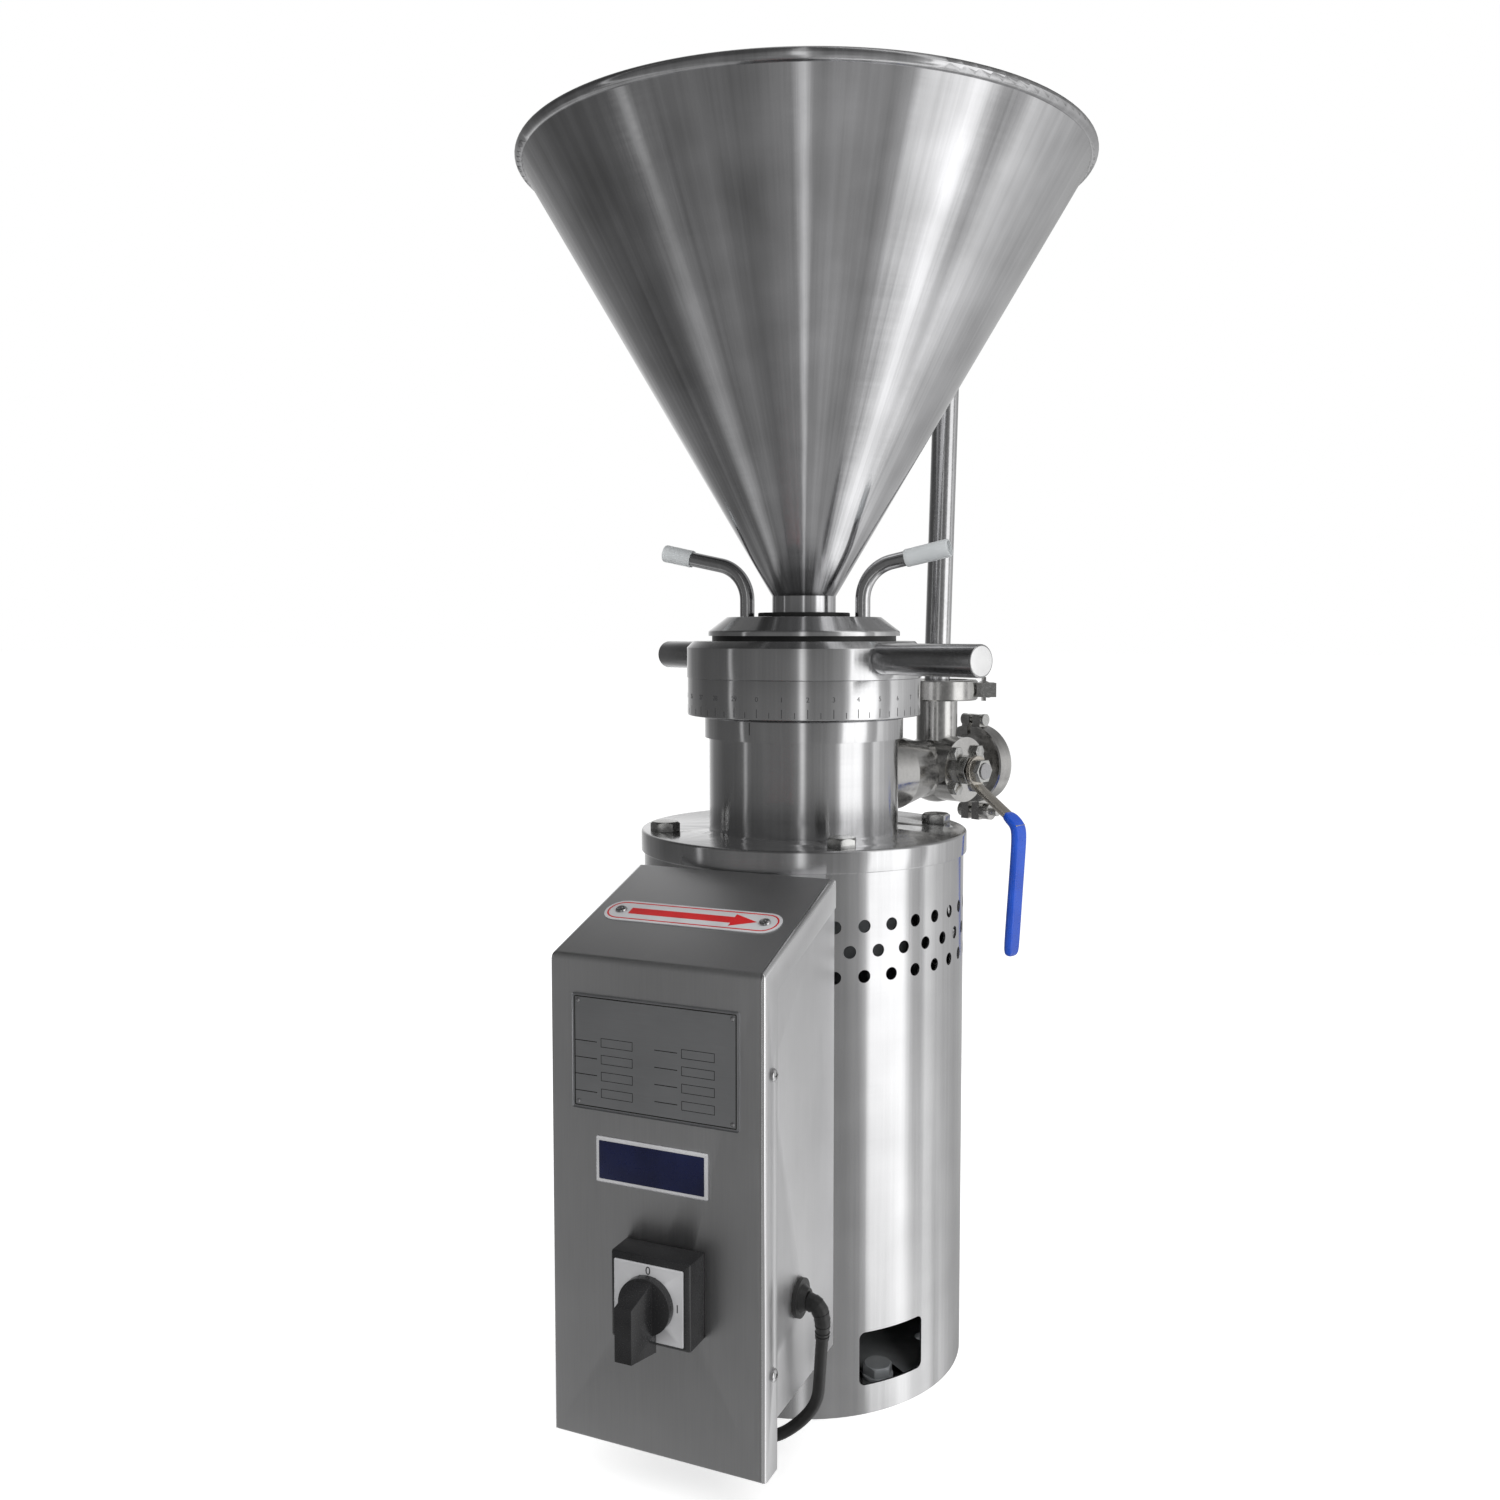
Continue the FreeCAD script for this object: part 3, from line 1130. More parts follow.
nozzles = []
hoses = []
for name, side in (("right", 1), ("left", -1)):
    path = rounded_path(nozzle_points(side), [num("nozzle_bend")])
    nozzles.append(tube(path, num("nozzle_radius"), num("nozzle_wall")))
    hoses.append(hose_stub(side, num(f"hose_{name}_from"), num(f"hose_{name}_to")))
node(feature("water_nozzles", Part.makeCompound(nozzles)))
node(feature("water_hoses", Part.makeCompound(hoses)))

# Discharge reducer, welded to the mill body, in the direction of the valve
valve_place = Placement(polar(num("valve_reach"), num("valve_azimuth"), num("port_level")),
                        facing(num("valve_azimuth")))
port_place = Placement(Vector(0, 0, num("port_level")),
                       facing(num("valve_azimuth")) * Rotation(Vector(0, 1, 0), 90))
valve_inlet = "valve_reach - valve_shell + 1"
reducer_blank = lathe("reducer_blank", [("reducer_radius - reducer_wall", "reducer_root"),
                                        ("reducer_radius", "reducer_root"),
                                        ("reducer_radius", "reducer_straight"),
                                        ("reducer_end", valve_inlet),
                                        ("reducer_end - reducer_wall", valve_inlet),
                                        ("reducer_radius - reducer_wall", "reducer_straight")])
reducer_blank.Placement = port_place
body_outside = cylinder("body_outside", "body_radius", "body_height * 2",
                        z="body_level - body_height / 2")
node(cut("discharge_reducer", reducer_blank, body_outside))


# Three-way valve. Local frame: +X outlet, -Y stem, +Z riser.
def along(axis, radius, start, end):
    """Cylinder on one of the valve's own axes between two distances from its centre."""
    direction = {"x": Vector(1, 0, 0), "y": Vector(0, -1, 0), "z": Vector(0, 0, 1)}[axis]
    return Part.makeCylinder(radius, end - start, direction * start, direction)


def ferrule(axis, face, back=1):
    """Clamp ferrule whose sealing face lies at a distance from the valve's centre."""
    rim = num("ferrule_rim")
    taper = num("ferrule_taper")
    edge = num("ferrule_radius")
    root = num("ferrule_root")
    tube_radius = num("port_radius") - 1
    corners = [(0, 0), (edge, 0), (edge, -back * rim), (root, -back * (rim + taper)),
               (tube_radius, -back * (rim + taper + 1)), (0, -back * (rim + taper + 1))]
    direction = {"x": Vector(1, 0, 0), "z": Vector(0, 0, 1)}[axis]
    return solid_ring(corners, direction * face, direction, Vector(0, 1, 0))


bore = num("bore_radius")
ball = num("ball_radius")
shell = num("valve_shell")
riser = num("riser_reach")
outlet = num("outlet_reach")
seat_start = num("seat_start")
seat_end = num("seat_end")
port_back = num("ferrule_rim + ferrule_taper")
port = num("port_radius")

valve_solid = Part.makeSphere(shell)
valve_solid = valve_solid.fuse([along("x", num("reducer_end"), -shell + 1, 0),
                                along("x", port, 0, outlet - port_back), ferrule("x", outlet),
                                along("z", port, 0, riser - port_back), ferrule("z", riser),
                                along("y", num("bonnet_radius"), 0, num("bonnet_face"))])
cavity = [Part.makeSphere(ball + num("ball_clear")), along("x", bore, -shell - 2, outlet + 1),
          along("z", bore, 0, riser + 1),
          along("x", num("seat_ring"), -seat_end, -seat_start),
          along("x", num("seat_ring"), seat_start, seat_end),
          along("z", num("seat_ring"), seat_start, seat_end),
          along("y", num("stem_radius + running_gap"), 0, num("bonnet_face") + 1)]
bonnet_spots = []
for i in range(4):
    angle = math.radians(45 + 90 * i)
    spot = Vector(num("bonnet_bolt_circle") * math.cos(angle), 0,
                  num("bonnet_bolt_circle") * math.sin(angle))
    bonnet_spots.append(spot)
    start = spot - Vector(0, num("bonnet_face - bonnet_bolt_length"), 0)
    cavity.append(Part.makeCylinder(num("bonnet_bolt"), num("bonnet_bolt_length + 2"), start,
                                    Vector(0, -1, 0)))
valve_solid = valve_solid.cut(cavity)
node(feature("valve_body", valve_solid, valve_place))

bonnet_bolts = []
corner = num("bonnet_bolt_corner")
for spot in bonnet_spots:
    head_start = spot - Vector(0, num("bonnet_face"), 0)
    points = [Vector(corner * math.cos(math.radians(60 * k)), 0,
                     corner * math.sin(math.radians(60 * k))) + head_start for k in range(6)]
    head = Part.Face(Part.makePolygon(points + [points[0]]))
    head = head.extrude(Vector(0, -num("bonnet_bolt_head"), 0))
    shank = Part.makeCylinder(num("bonnet_bolt"), num("bonnet_bolt_length"), head_start,
                              Vector(0, 1, 0))
    bonnet_bolts.append(head.fuse(shank))
node(feature("bonnet_bolts", Part.makeCompound(bonnet_bolts), valve_place))

seats = []
for axis, sign in (("x", -1), ("x", 1), ("z", 1)):
    low, high = sorted((sign * seat_start, sign * seat_end))
    ring = along(axis, num("seat_ring"), low, high).cut(along(axis, bore, low - 1, high + 1))
    seats.append(ring.cut(Part.makeSphere(ball + num("running_gap"))))
node(feature("valve_seats", Part.makeCompound(seats), valve_place))

ball_blank = Part.makeSphere(ball)
tang_half = num("stem_radius - 0.5")
tang_width = num("tang_width")
tang = Part.makeBox(2 * tang_half, num("tang_depth") + 1, tang_width,
                    Vector(-tang_half, -ball - 1, -tang_width / 2))
ball_solid = ball_blank.cut([along("x", bore - 1, -ball, 0),
                             along("z", bore - 1, -ball, ball), tang])
node(feature("valve_ball", ball_solid, valve_place))

hub_face = num("bonnet_face + gland_height + hub_gap")
stem_end = hub_face + num("lever_thickness + lever_nut_height") + 1
stem_solid = along("y", num("stem_radius"), ball - 2, stem_end).cut(ball_blank)
stem_solid = stem_solid.fuse(tang.common(along("y", tang_half, 0, ball + 1)))
node(feature("valve_stem", stem_solid, valve_place))


def hex_ring(flats, height, hole, start):
    radius = flats / 2 / math.cos(math.radians(30))
    points = [Vector(radius * math.cos(math.radians(60 * k)), -start,
                     radius * math.sin(math.radians(60 * k))) for k in range(6)]
    block = Part.Face(Part.makePolygon(points + [points[0]])).extrude(Vector(0, -height, 0))
    return block.cut(along("y", hole, start - 1, start + height + 1))


node(feature("packing_nut", hex_ring(num("gland_flats"), num("gland_height"),
                                     num("stem_radius + running_gap"), num("bonnet_face")), valve_place))
node(feature("lever_nut", hex_ring(num("lever_nut_flats"), num("lever_nut_height"),
                                   num("stem_radius"), hub_face + num("lever_thickness")), valve_place))


# Lever: a strip with a step in it, bent in the plane of the stem and the riser
def strip(centre_line, half, width):
    """A bent strip of even thickness round a line of (out along the stem, up) points."""
    points = [Vector(0, -out, up) for out, up in centre_line]
    headings = [(b - a).normalize() for a, b in zip(points, points[1:])]
    sides = [Vector(0, -way.z, way.y) for way in headings]
    offsets = [sides[0]]
    offsets += [(a + b) * (1 / (1 + a.dot(b))) for a, b in zip(sides, sides[1:])]
    offsets.append(sides[-1])
    ring = [p + o * half for p, o in zip(points, offsets)]
    ring += [p - o * half for p, o in reversed(list(zip(points, offsets)))]
    face = Part.Face(Part.makePolygon(ring + [ring[0]]))
    face.translate(Vector(-width / 2, 0, 0))
    return face.extrude(Vector(width, 0, 0))


lever_half = num("lever_thickness") / 2
lever_out = hub_face + lever_half
lever_far = lever_out + num("lever_step_out")
step_top = -num("lever_straight")
step_bottom = step_top - num("lever_step_down")
grip_share = (num("grip_start") + step_top) / num("lever_step_down")
lever_line = [(lever_out, 0), (lever_out, step_top), (lever_far, step_bottom),
              (lever_far - num("lever_lean"), -num("lever_length"))]
lever_solid = strip(lever_line, lever_half, num("lever_width"))
lever_solid = lever_solid.fuse(along("y", num("lever_hub"), hub_face,
                                     hub_face + num("lever_thickness")))
lever_solid = lever_solid.cut(along("y", num("stem_radius"), hub_face - 1,
                                    hub_face + num("lever_thickness") + 1))
node(feature("valve_lever", lever_solid, valve_place))
lean_rate = num("lever_lean") / (num("lever_length") + step_bottom)
grip_end = num("lever_length + grip_wall")
grip_line = [(lever_out + grip_share * num("lever_step_out"), -num("grip_start")),
             (lever_far, step_bottom),
             (lever_far - lean_rate * (grip_end + step_bottom), -grip_end)]
grip = strip(grip_line, lever_half + num("grip_wall"), num("lever_width + grip_wall * 2"))
long_edges = [e for e in grip.Edges if abs(e.tangentAt(e.FirstParameter).x) < 0.1
              and e.Length > num("lever_width")]
grip = grip.makeFillet(num("grip_wall"), long_edges)
node(feature("lever_grip", grip.cut(lever_solid), valve_place))

# Spout, gaskets, clamps and riser pipe
spout_face = outlet + num("ferrule_gasket")
spout = ferrule("x", spout_face, back=-1)
spout = spout.fuse(along("x", num("spout_radius"), spout_face, spout_face + num("spout_length")))
spout = spout.cut(along("x", num("spout_radius - spout_wall"), spout_face - 1,
                        spout_face + num("spout_length") + 1))
node(feature("outlet_spout", spout, valve_place))

gaskets = []
for axis, face in (("x", outlet), ("z", riser)):
    disc = along(axis, num("ferrule_radius - 1"), face, face + num("ferrule_gasket"))
    gaskets.append(disc.cut(along(axis, bore, face - 1, face + num("ferrule_gasket") + 1)))
node(feature("ferrule_gaskets", Part.makeCompound(gaskets), valve_place))


def clamp_halves():
    """Two clamp halves round the Z axis, split across X, with ears for hinge and bolt."""
    half = num("clamp_width") / 2
    outer = num("clamp_radius")
    edge = num("ferrule_radius + running_gap * 2")
    grip_half = num("ferrule_gasket / 2 + ferrule_rim + running_gap * 2")
    taper = num("ferrule_taper")
    root = num("ferrule_root")
    band = solid_ring([(root, -half), (outer - 1, -half), (outer, -half + 1),
                       (outer, half - 1), (outer - 1, half), (root, half),
                       (root, grip_half + taper), (edge, grip_half), (edge, -grip_half),
                       (root, -grip_half - taper)])
    inside = num("clamp_root")
    ear_half = num("clamp_lug_half")
    split = num("clamp_split") / 2
    outside = num("clamp_split / 2 + clamp_lug")
    far = outer + num("clamp_ear")
    lug = Part.makeBox(num("clamp_ear") + inside, 2 * outside, 2 * ear_half,
                       Vector(outer - inside, -outside, -ear_half))
    tail = Part.makeBox(num("clamp_tail") + inside, 2 * outside, 2 * ear_half,
                        Vector(-outer - num("clamp_tail"), -outside, -ear_half))
    core = Part.makeCylinder(edge, 2 * half, Vector(0, 0, -half))
    whole = band.fuse(lug.fuse(tail).cut(core))
    for seat in (num("clamp_bolt_seat"), -2 * outer - num("clamp_pin_seat")):
        whole = whole.cut(Part.makeCylinder(num("clamp_bolt"), 2 * outside,
                                            Vector(outer + seat, -outside, 0), Vector(0, 1, 0)))
    halves = []
    for start in (split, -split - far):
        slab = Part.makeBox(2 * far, far, 2 * half, Vector(-far, start, -half))
        halves.append(whole.common(slab))
    return Part.makeCompound(halves)


def clamp_hardware():
    """Clamp bolt with its wing nut, and the pin on the other side."""
    outer = num("clamp_radius")
    wide = num("clamp_split / 2 + clamp_lug")
    bolt_x = outer + num("clamp_bolt_seat")
    pin_x = -outer - num("clamp_pin_seat")
    radius = num("clamp_bolt")
    across = Vector(0, 1, 0)
    head_height = num("clamp_head_height")
    cap_height = num("pin_cap_height")
    thick = num("wing_thickness")
    reach = num("wing_reach")
    bolt = Part.makeCylinder(radius, 2 * wide + num("clamp_bolt_spare"),
                             Vector(bolt_x, -wide, 0), across)
    head = Part.makeCylinder(num("clamp_bolt_head"), head_height,
                             Vector(bolt_x, -wide - head_height, 0), across)
    hub = Part.makeCylinder(num("wing_hub"), num("wing_hub_height"), Vector(bolt_x, wide, 0),
                            across)
    wings = Part.makeBox(thick, num("wing_width"), 2 * reach,
                         Vector(bolt_x - thick / 2, wide + thick, -reach))
    nut = hub.fuse(wings).cut(bolt)
    pin = Part.makeCylinder(radius, 2 * wide, Vector(pin_x, -wide, 0), across)
    caps = [Part.makeCylinder(num("pin_cap"), cap_height, Vector(pin_x, wide, 0), across),
            Part.makeCylinder(num("pin_cap"), cap_height,
                              Vector(pin_x, -wide - cap_height, 0), across)]
    return bolt.fuse(head), nut, pin.fuse(caps)


riser_clamp_turn = Rotation(Vector(0, 0, 1), num("riser_clamp_azimuth - valve_azimuth"))
riser_clamp = Placement(Vector(0, 0, riser + num("ferrule_gasket") / 2), riser_clamp_turn)
outlet_clamp = Placement(Vector(outlet + num("ferrule_gasket") / 2, 0, 0),
                         Rotation(Vector(0, 0, -1), Vector(0, -1, 0), Vector(-1, 0, 0), "XYZ"))
clamps = []
clamp_bolts = []
wing_nuts = []
for spot in (riser_clamp, outlet_clamp):
    halves = clamp_halves()
    bolt, nut, pin = clamp_hardware()
    for item in (halves, bolt, nut, pin):
        item.Placement = spot
    clamps.append(halves)
    clamp_bolts += [bolt, pin]
    wing_nuts.append(nut)
node(feature("pipe_clamps", Part.makeCompound(clamps), valve_place))
node(feature("clamp_bolts", Part.makeCompound(clamp_bolts), valve_place))
node(feature("clamp_wing_nuts", Part.makeCompound(wing_nuts), valve_place))


def pipe_point(reach, height):
    return polar(reach, num("valve_azimuth"), height)


pipe_foot = num("port_level + riser_reach + ferrule_gasket")
pipe_path = rounded_path([pipe_point(num("valve_reach"), pipe_foot),
                          pipe_point(num("valve_reach"), pipe_foot + num("pipe_foot_straight")),
                          pipe_point(num("pipe_knee_reach"), num("pipe_knee_height")),
                          pipe_point(num("pipe_rim_reach"), num("pipe_rim_height")),
                          pipe_point(num("pipe_rim_reach"), num("pipe_crook_height")),
                          pipe_point(num("pipe_drop_reach"), num("pipe_crook_height")),
                          pipe_point(num("pipe_drop_reach"), num("pipe_drop_height"))],
                         [num("pipe_foot_bend"), num("pipe_soft_bend"), num("pipe_rim_bend"),
                          num("pipe_bend"), num("pipe_bend")])
pipe = round_bar(pipe_path, num("pipe_radius"))
foot_ferrule = ferrule("z", riser + num("ferrule_gasket"), back=-1)
foot_ferrule.Placement = valve_place
pipe = pipe.fuse(foot_ferrule).cut(round_bar(pipe_path, num("pipe_radius - pipe_wall")))
node(feature("recirculation_pipe", pipe))


# Control cabinet: a bent cover with side returns over an open box
SLANT = "sqrt(1 + slope_rise * slope_rise)"


def slope_height(setback, drop="0"):
    """Height of the sloping top at a distance from the axis, less a thickness."""
    return f"(cover_bend + slope_rise * (cabinet_front - ({setback})) - ({drop}) * {SLANT})"


def folded_sheet(label, side_outline, width, hollow_outline, hollow_width):
    """A side outline extruded to both sides of the middle plane, with a hollow cut out."""
    body = new_body(label)
    outside = new_sketch(body, label + "_side", "YZ_Plane")
    outline(outside, [(f"0 - ({setback})", up) for setback, up in side_outline])
    pad(body, outside, width, "Sheet", both=True)
    doc.recompute()
    full = body.Shape.Volume
    inside = new_sketch(body, label + "_hollow", "YZ_Plane")
    outline(inside, [(f"0 - ({setback})", up) for setback, up in hollow_outline])
    pad(body, inside, hollow_width, "Hollow", "PartDesign::Pocket", both=True)
    doc.recompute()
    print(label, "volume", round(full), "hollowed to", round(body.Shape.Volume))
    return body


panel_back = "cabinet_front - cabinet_sheet"
return_back = "cabinet_front - cover_return"
cabinet_cover = folded_sheet(
    "cabinet_cover_sheet",
    [("cabinet_front", "cover_bottom"), ("cabinet_front", "cover_bend"),
     ("cover_back", slope_height("cover_back")),
     ("cover_back", slope_height("cover_back", "cover_return")),
     (return_back, slope_height(return_back, "cover_return")),
     (return_back, "cover_bottom")], "cabinet_width",
    [(panel_back, "cover_bottom - 1"), (panel_back, slope_height(panel_back, "cabinet_sheet")),
     ("cover_back - 1", slope_height("cover_back - 1", "cabinet_sheet")),
     ("cover_back - 1", "cover_bottom - 1")], "cabinet_width - cabinet_sheet * 2")
box_front = "(cabinet_front - cabinet_sheet - cover_fit)"
box_inside = "(cabinet_back + cabinet_sheet)"
cabinet_box = folded_sheet(
    "cabinet_box_sheet",
    [(box_front, "box_bottom"),
     (box_front, slope_height(box_front, "cabinet_sheet") + " - cover_fit"),
     ("cabinet_back", "shroud_height - box_drop"), ("cabinet_back", "box_bottom")], "box_half * 2",
    [(f"{box_front} + 1", "box_bottom + cabinet_sheet"),
     (f"{box_front} + 1", "shroud_height + cut_past"), (box_inside, "shroud_height + cut_past"),
     (box_inside, "box_bottom + cabinet_sheet")], "(box_half - cabinet_sheet) * 2")

TO_RIGHT = Rotation(Vector(0, 1, 0), 90)
TO_LEFT = Rotation(Vector(0, 1, 0), -90)
TO_FRONT = Rotation(Vector(1, 0, 0), 90)
screw_spots = [(side, level) for side in (1, -1) for level in ("side_screw_low",
                                                               "side_screw_high")]
side_screws = []
side_holes = []
for i, (side, level) in enumerate(screw_spots):
    turn = TO_RIGHT if side > 0 else TO_LEFT
    depth = "0 - (cabinet_front - side_screw_setback)"
    head = cylinder(f"cover_screw_head_{i}", "side_screw_head", "side_screw_head_height",
                    f"{side} * cabinet_width / 2", depth, level, turn)
    shank = cylinder(f"cover_screw_shank_{i}", "side_screw_radius", "side_screw_length",
                     f"{side} * (cabinet_width / 2 - side_screw_length)", depth, level, turn)
    side_screws.append(fuse(f"cover_screw_{i}", [head, shank]))
    side_holes.append(cylinder(f"cover_screw_hole_{i}", "side_screw_radius", "side_screw_length",
                               f"{side} * (cabinet_width / 2 - side_screw_length)", depth, level, turn))
switch_hole = cylinder("switch_hole", "switch_neck", "cabinet_sheet * 3", "switch_offset",
                       "0 - (cabinet_front - cabinet_sheet * 2)", "switch_height", TO_FRONT)
node(cut("cabinet_cover", cabinet_cover, fuse("cover_openings", side_holes + [switch_hole])))
gland_hole = cylinder("gland_hole", "gland_thread", "cabinet_sheet * 3",
                      "box_half - cabinet_sheet * 2", "0 - gland_setback", "gland_level",
                      TO_RIGHT)
box_holes = [gland_hole]
for level in ("bushing_low", "bushing_high"):
    box_holes.append(cylinder(f"{level}_hole", "bushing_radius", "cabinet_sheet * 3", "0",
                              "0 - (cabinet_back - cabinet_sheet)", level, TO_FRONT))
node(cut("cabinet_box", cabinet_box, fuse("box_openings", box_holes + side_holes)))
node(group("cover_screws", side_screws))

# Lead bushings: hollow threaded tubes whose nuts clamp the box to the shroud
nut_seat = "sqrt(inner_radius * inner_radius - bushing_nut_radius * bushing_nut_radius)"
bushings = []
for level in ("bushing_low", "bushing_high"):
    bushing = lathe(level + "_bushing",
                    [("bushing_bore", f"{nut_seat} - bushing_nut"),
                     ("bushing_nut_radius", f"{nut_seat} - bushing_nut"),
                     ("bushing_nut_radius", nut_seat),
                     ("bushing_radius", nut_seat),
                     ("bushing_radius", box_inside),
                     ("bushing_nut_radius", box_inside),
                     ("bushing_nut_radius", f"{box_inside} + bushing_nut"),
                     ("bushing_bore", f"{box_inside} + bushing_nut")])
    bushings.append(place(bushing, z=level, turn=TO_FRONT))
node(group("lead_bushings", bushings))

capacitor = lathe("run_capacitor", [("0", "0"), ("capacitor_radius - 1", "0"),
                                    ("capacitor_radius", "1"),
                                    ("capacitor_radius", "capacitor_height - 3"),
                                    ("capacitor_radius - 2", "capacitor_height - 2"),
                                    ("capacitor_radius - 2", "capacitor_height"),
                                    ("capacitor_post", "capacitor_height"),
                                    ("capacitor_post", "capacitor_height + capacitor_post"),
                                    ("0", "capacitor_height + capacitor_post")])
node(place(capacitor, "0 - capacitor_offset", f"0 - ({box_inside} + capacitor_radius)",
           "capacitor_level"))
terminal_block = box("terminal_blank", "terminal_width", "terminal_depth", "terminal_height",
                     "0 - terminal_width / 2", f"0 - ({box_inside} + terminal_depth)",
                     "terminal_level")
wells = []
for i in range(int(num("terminal_count"))):
    wells.append(cylinder(f"terminal_well_{i}", "terminal_well", "terminal_depth / 2",
                          f"({i} + 1 / 2 - terminal_count / 2) * terminal_width / terminal_count",
                          f"0 - ({box_inside} + terminal_depth / 2)",
                          "terminal_level + terminal_height / 2", TO_FRONT))
node(cut("terminal_block", terminal_block, fuse("terminal_wells", wells)))


# Cam switch: front frame, contact block and knob, all centred on the switch shaft
def square(sketch, half):
    outline(sketch, [(half, half), (f"0 - {half}", half), (f"0 - {half}", f"0 - {half}"),
                     (half, f"0 - {half}")])


switch_front = new_body("switch_front")
front_sketch = new_sketch(switch_front, "front_square", "XZ_Plane", "cabinet_front")
square(front_sketch, "switch_size / 2")
circle(front_sketch, "0", "0", "switch_shaft + running_gap")
front_pad = pad(switch_front, front_sketch, "switch_depth", "Front")
doc.recompute()
front_level = num("0 - cabinet_front - switch_depth")
front_edges = [f"Edge{n}" for n, edge in enumerate(switch_front.Shape.Edges, start=1)
               if abs(edge.CenterOfMass.y - front_level) < 1e-4
               and isinstance(edge.Curve, Part.Line)]
bevel = switch_front.newObject("PartDesign::Chamfer", "Bevel")
bevel.Base = (front_pad, front_edges)
bevel.setExpression("Size", ex("switch_bevel"))
node(place(switch_front, "switch_offset", "0", "switch_height"))

switch_body = new_body("switch_contacts")
block_sketch = new_sketch(switch_body, "block_square", "XZ_Plane",
                          f"{panel_back} - switch_block_depth")
square(block_sketch, "switch_block / 2")
pad(switch_body, block_sketch, "switch_block_depth", "Block")
neck_sketch = new_sketch(switch_body, "neck_circle", "XZ_Plane", panel_back)
circle(neck_sketch, "0", "0", "switch_neck")
pad(switch_body, neck_sketch, "cabinet_sheet", "Neck")
doc.recompute()
bore_sketch = new_sketch(switch_body, "bore_circle", "XZ_Plane", "cabinet_front")
circle(bore_sketch, "0", "0", "switch_shaft + running_gap")
pad(switch_body, bore_sketch, "cabinet_sheet + shaft_depth + running_gap", "Bore",
    "PartDesign::Pocket")
node(place(switch_body, "switch_offset", "0", "switch_height"))

knob_level = "(cabinet_front + switch_depth + inlay_thickness + knob_gap)"
knob = new_body("switch_knob")
shaft_sketch = new_sketch(knob, "shaft_circle", "XZ_Plane", f"{panel_back} - shaft_depth")
circle(shaft_sketch, "0", "0", "switch_shaft")
pad(knob, shaft_sketch, f"{knob_level} - ({panel_back} - shaft_depth) + knob_disc / 2", "Shaft")
disc_sketch = new_sketch(knob, "disc_circle", "XZ_Plane", knob_level)
circle(disc_sketch, "0", "0", "knob_radius")
pad(knob, disc_sketch, "knob_disc", "Disc")
blade_sketch = new_sketch(knob, "blade_side", "YZ_Plane")
outline(blade_sketch, [(f"0 - {knob_level}", "0 - blade_down"),
                       (f"0 - {knob_level}", "blade_up"),
                       (f"0 - ({knob_level} + knob_disc + blade_depth)",
                        "blade_up - blade_slope"),
                       (f"0 - ({knob_level} + knob_disc + blade_depth)",
                        "0 - blade_down + blade_slope")])
pad(knob, blade_sketch, "blade_width", "Blade", both=True)
node(place(knob, "switch_offset", "0", "switch_height"))

# Cable gland in the box's right side
box_wall = "(box_half - cabinet_sheet)"
gland = lathe("cable_gland", [("cord_radius", f"{box_wall} - gland_nut - 3"),
                              ("gland_thread", f"{box_wall} - gland_nut - 3"),
                              ("gland_thread", f"{box_wall} - gland_nut"),
                              ("gland_radius", f"{box_wall} - gland_nut"),
                              ("gland_radius", box_wall),
                              ("gland_thread", box_wall),
                              ("gland_thread", "box_half"),
                              ("gland_radius", "box_half"),
                              ("gland_radius", "box_half + gland_flange"),
                              ("gland_radius - 3", "box_half + gland_flange"),
                              ("gland_tip", "box_half + gland_flange + gland_length"),
                              ("cord_radius", "box_half + gland_flange + gland_length")])
node(place(gland, "0", "0 - gland_setback", "gland_level", TO_RIGHT))


# Power cord: out of the gland, down, under the cabinet and round the shroud to its coil
ARC_SHARE = 0.45


def measured_radii(points):
    """Arc radius at each inner point: as large as the shorter run beside it allows."""
    radii = []
    for before, here, after in zip(points, points[1:], points[2:]):
        turn = (here - before).getAngle(after - here)
        run = min((here - before).Length, (after - here).Length)
        radii.append(ARC_SHARE * run / math.tan(turn / 2))
    return radii


def swept_cord(label, path):
    radius = num("cord_radius")
    shape = round_bar(path, radius)
    expected = math.pi * radius * radius * path.Length
    print(label, "length", round(path.Length, 1), "volume share",
          round(shape.Volume / expected, 4))
    return shape


lying = num("cord_radius")
COIL_CENTRE = Vector(-70, 150, lying)
COIL_INNER = 27.0
COIL_STEP = 7.6
COIL_TURNS = 5.25
COIL_REVERSAL = 2.5
coil_outer = COIL_INNER + COIL_STEP * COIL_REVERSAL
lead = 2 * lying
entry = COIL_CENTRE + Vector(-coil_outer, -lead, 0)
CORD_ROUTE = [(54, -163, 111), (74, -163, 111), (78.5, -162.5, 103), (78, -161.5, 91),
              (76.5, -160, 78.5), (75, -158, 65), (73, -155.5, 48), (61, -152, 31),
              (42, -147, 14), (10, -142, 3.5), (-38, -141, 3.5), (-88, -134, 3.5),
              (-122, -103, 3.5), (-135, -61, 3.5), (-136, -14, 3.5), (-130, 32, 3.5),
              (-119, 74, 3.5), (-116, 112, 3.5)]
cord_points = [Vector(*point) for point in CORD_ROUTE] + [entry]
cord_radii = measured_radii(cord_points)
print("cord radii", [round(radius, 1) for radius in cord_radii])
cord_path = rounded_path(cord_points, cord_radii)
node(feature("power_cable", swept_cord("power_cable", cord_path)))


# Coil: an unbroken tube that winds inwards on the floor, climbs a layer and winds out
def arc_between(start, heading, end):
    """Arc that leaves a point along a heading and passes through another point."""
    chord = end - start
    way = Vector(chord).normalize()
    side = heading - way * heading.dot(way)
    if side.Length < 1e-6:
        return Part.LineSegment(start, end).toShape()
    rise = chord.Length / 2 * math.tan(heading.getAngle(way) / 2)
    crown = (start + end) * 0.5 + side.normalize() * rise
    return Part.Arc(start, crown, end).toShape()


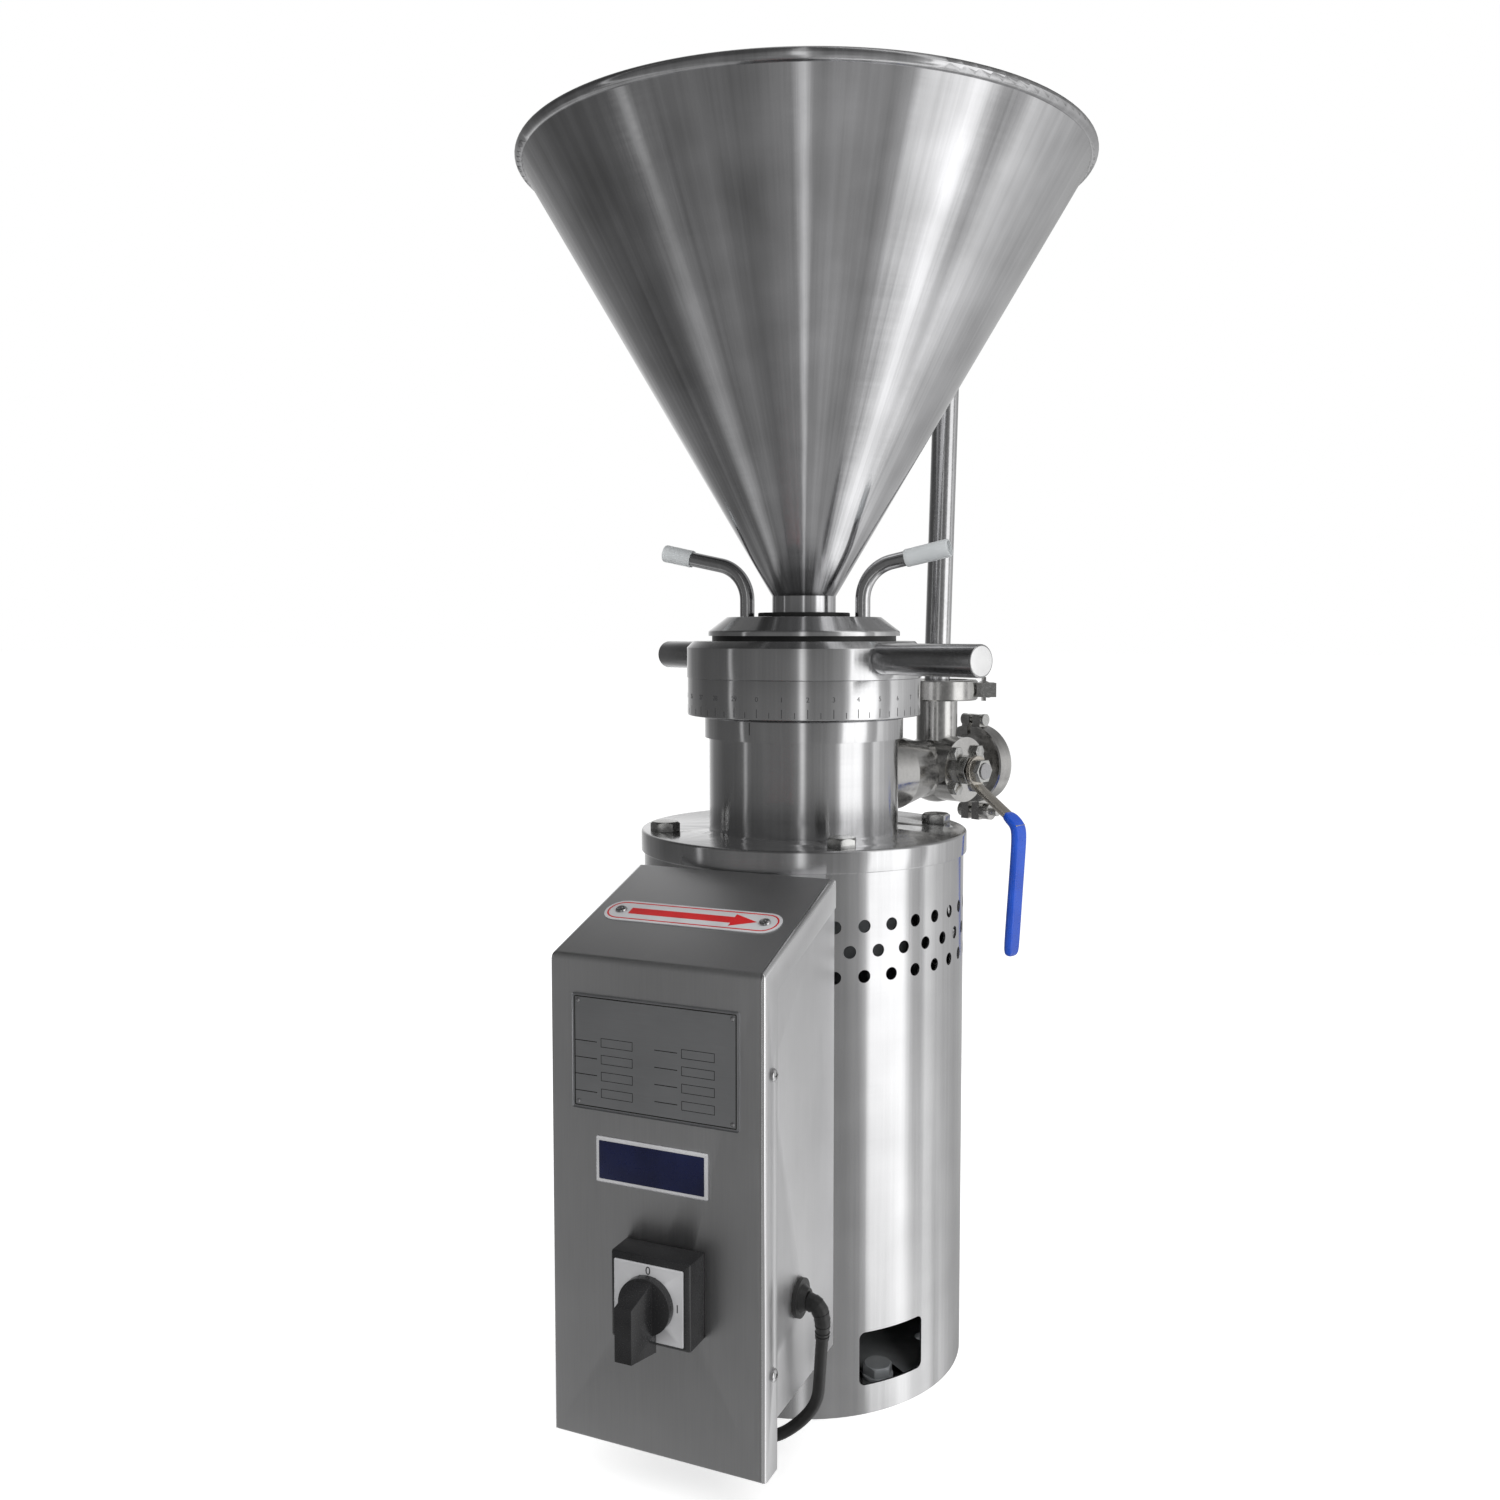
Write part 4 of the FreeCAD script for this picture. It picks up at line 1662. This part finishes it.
def biarc(start, start_way, end, end_way):
    """Two tangent arcs from a point and heading to another point and heading."""
    gap = end - start
    both = start_way + end_way
    spread = 2 * (1 - start_way.dot(end_way))
    root = math.sqrt(gap.dot(both) ** 2 + spread * gap.dot(gap))
    if spread < 1e-9:
        reach = gap.dot(gap) / (4 * gap.dot(end_way))
    else:
        reach = (root - gap.dot(both)) / spread
    joint = (start + end + (start_way - end_way) * reach) * 0.5
    back = arc_between(end, end_way * -1, joint)
    return [arc_between(start, start_way, joint), back]


def coil_radius(turns):
    return COIL_INNER + COIL_STEP * abs(turns - COIL_REVERSAL)


def coil_point(turns):
    angle = math.pi - 2 * math.pi * turns
    climb = min(1.0, max(0.0, (turns - COIL_REVERSAL + 0.25) * 2))
    radius = coil_radius(turns)
    return COIL_CENTRE + Vector(radius * math.cos(angle), radius * math.sin(angle),
                                COIL_STEP * climb)


def coil_heading(turns):
    angle = math.pi - 2 * math.pi * turns
    steep = 0.0
    if abs(turns - COIL_REVERSAL) < 0.01:
        steep = 2 * COIL_STEP / (math.pi * COIL_INNER)
    inward = 0.0
    if 0 < turns < COIL_TURNS:
        sign = (turns > COIL_REVERSAL) - (turns < COIL_REVERSAL)
        inward = sign * COIL_STEP / (2 * math.pi * coil_radius(turns))
    return Vector(math.sin(angle) + inward * math.cos(angle),
                  -math.cos(angle) + inward * math.sin(angle), steep).normalize()


plug_level = num("plug_radius")
coil_end = coil_point(COIL_TURNS)
plug_lead = Vector(coil_end.x + plug_level * 2, coil_end.y + 8, plug_level)
plug_face = plug_lead + Vector(lead, 0, 0)
coil_edges = [Part.LineSegment(entry, entry + Vector(0, lead, 0)).toShape()]
quarters = int(COIL_TURNS * 4)
for i in range(quarters):
    begin = i / 4
    finish = (i + 1) / 4
    coil_edges += biarc(coil_point(begin), coil_heading(begin), coil_point(finish),
                        coil_heading(finish))
coil_edges += biarc(coil_end, coil_heading(COIL_TURNS), plug_lead, Vector(1, 0, 0))
coil_edges.append(Part.LineSegment(plug_lead, plug_face).toShape())
coil_path = Part.Wire(coil_edges)
node(feature("cable_coil", swept_cord("cable_coil", coil_path)))
SAMPLES = 700
samples = coil_path.discretize(Number=SAMPLES)
spacing = coil_path.Length / (SAMPLES - 1)
apart = int(4 * lead / spacing)
nearest = min(a.distanceToPoint(b) for i, a in enumerate(samples) for b in samples[i + apart:])
print("coil gap to itself", round(nearest - 2 * lying, 2))
print("cord length", round(cord_path.Length + coil_path.Length))

# Plug lying beside the coil
plug_body = lathe("plug_body", [("0", "0"), ("cord_radius + 2", "0"),
                                ("cord_radius + 4", "plug_neck"),
                                ("plug_radius", "plug_length / 2"),
                                ("plug_radius", "plug_length - plug_round"),
                                ("plug_radius - plug_round", "plug_length"), ("0", "plug_length")])
plug_pins = [cylinder(f"plug_pin_{i}", "pin_radius", "pin_length", "0",
                      f"{side} * pin_gap / 2", "plug_length")
             for i, side in enumerate((1, -1))]
plug = fuse("plug", [plug_body] + plug_pins)
plug.Placement = Placement(plug_face, TO_RIGHT)
node(plug)

# Checks and export
doc.recompute()
for item in doc.Objects:
    if "Invalid" in item.State or "Error" in item.State:
        raise RuntimeError(f"{item.Name} did not build: {item.State}")
os.makedirs("parts", exist_ok=True)
for item in NODES:
    shape = item.Shape
    if shape.isNull() or not shape.isValid() or not shape.Solids:
        raise RuntimeError(f"{item.Label} has no valid solid")
    shape.exportStep(f"parts/{item.Label}.step")
print(len(NODES), "nodes")
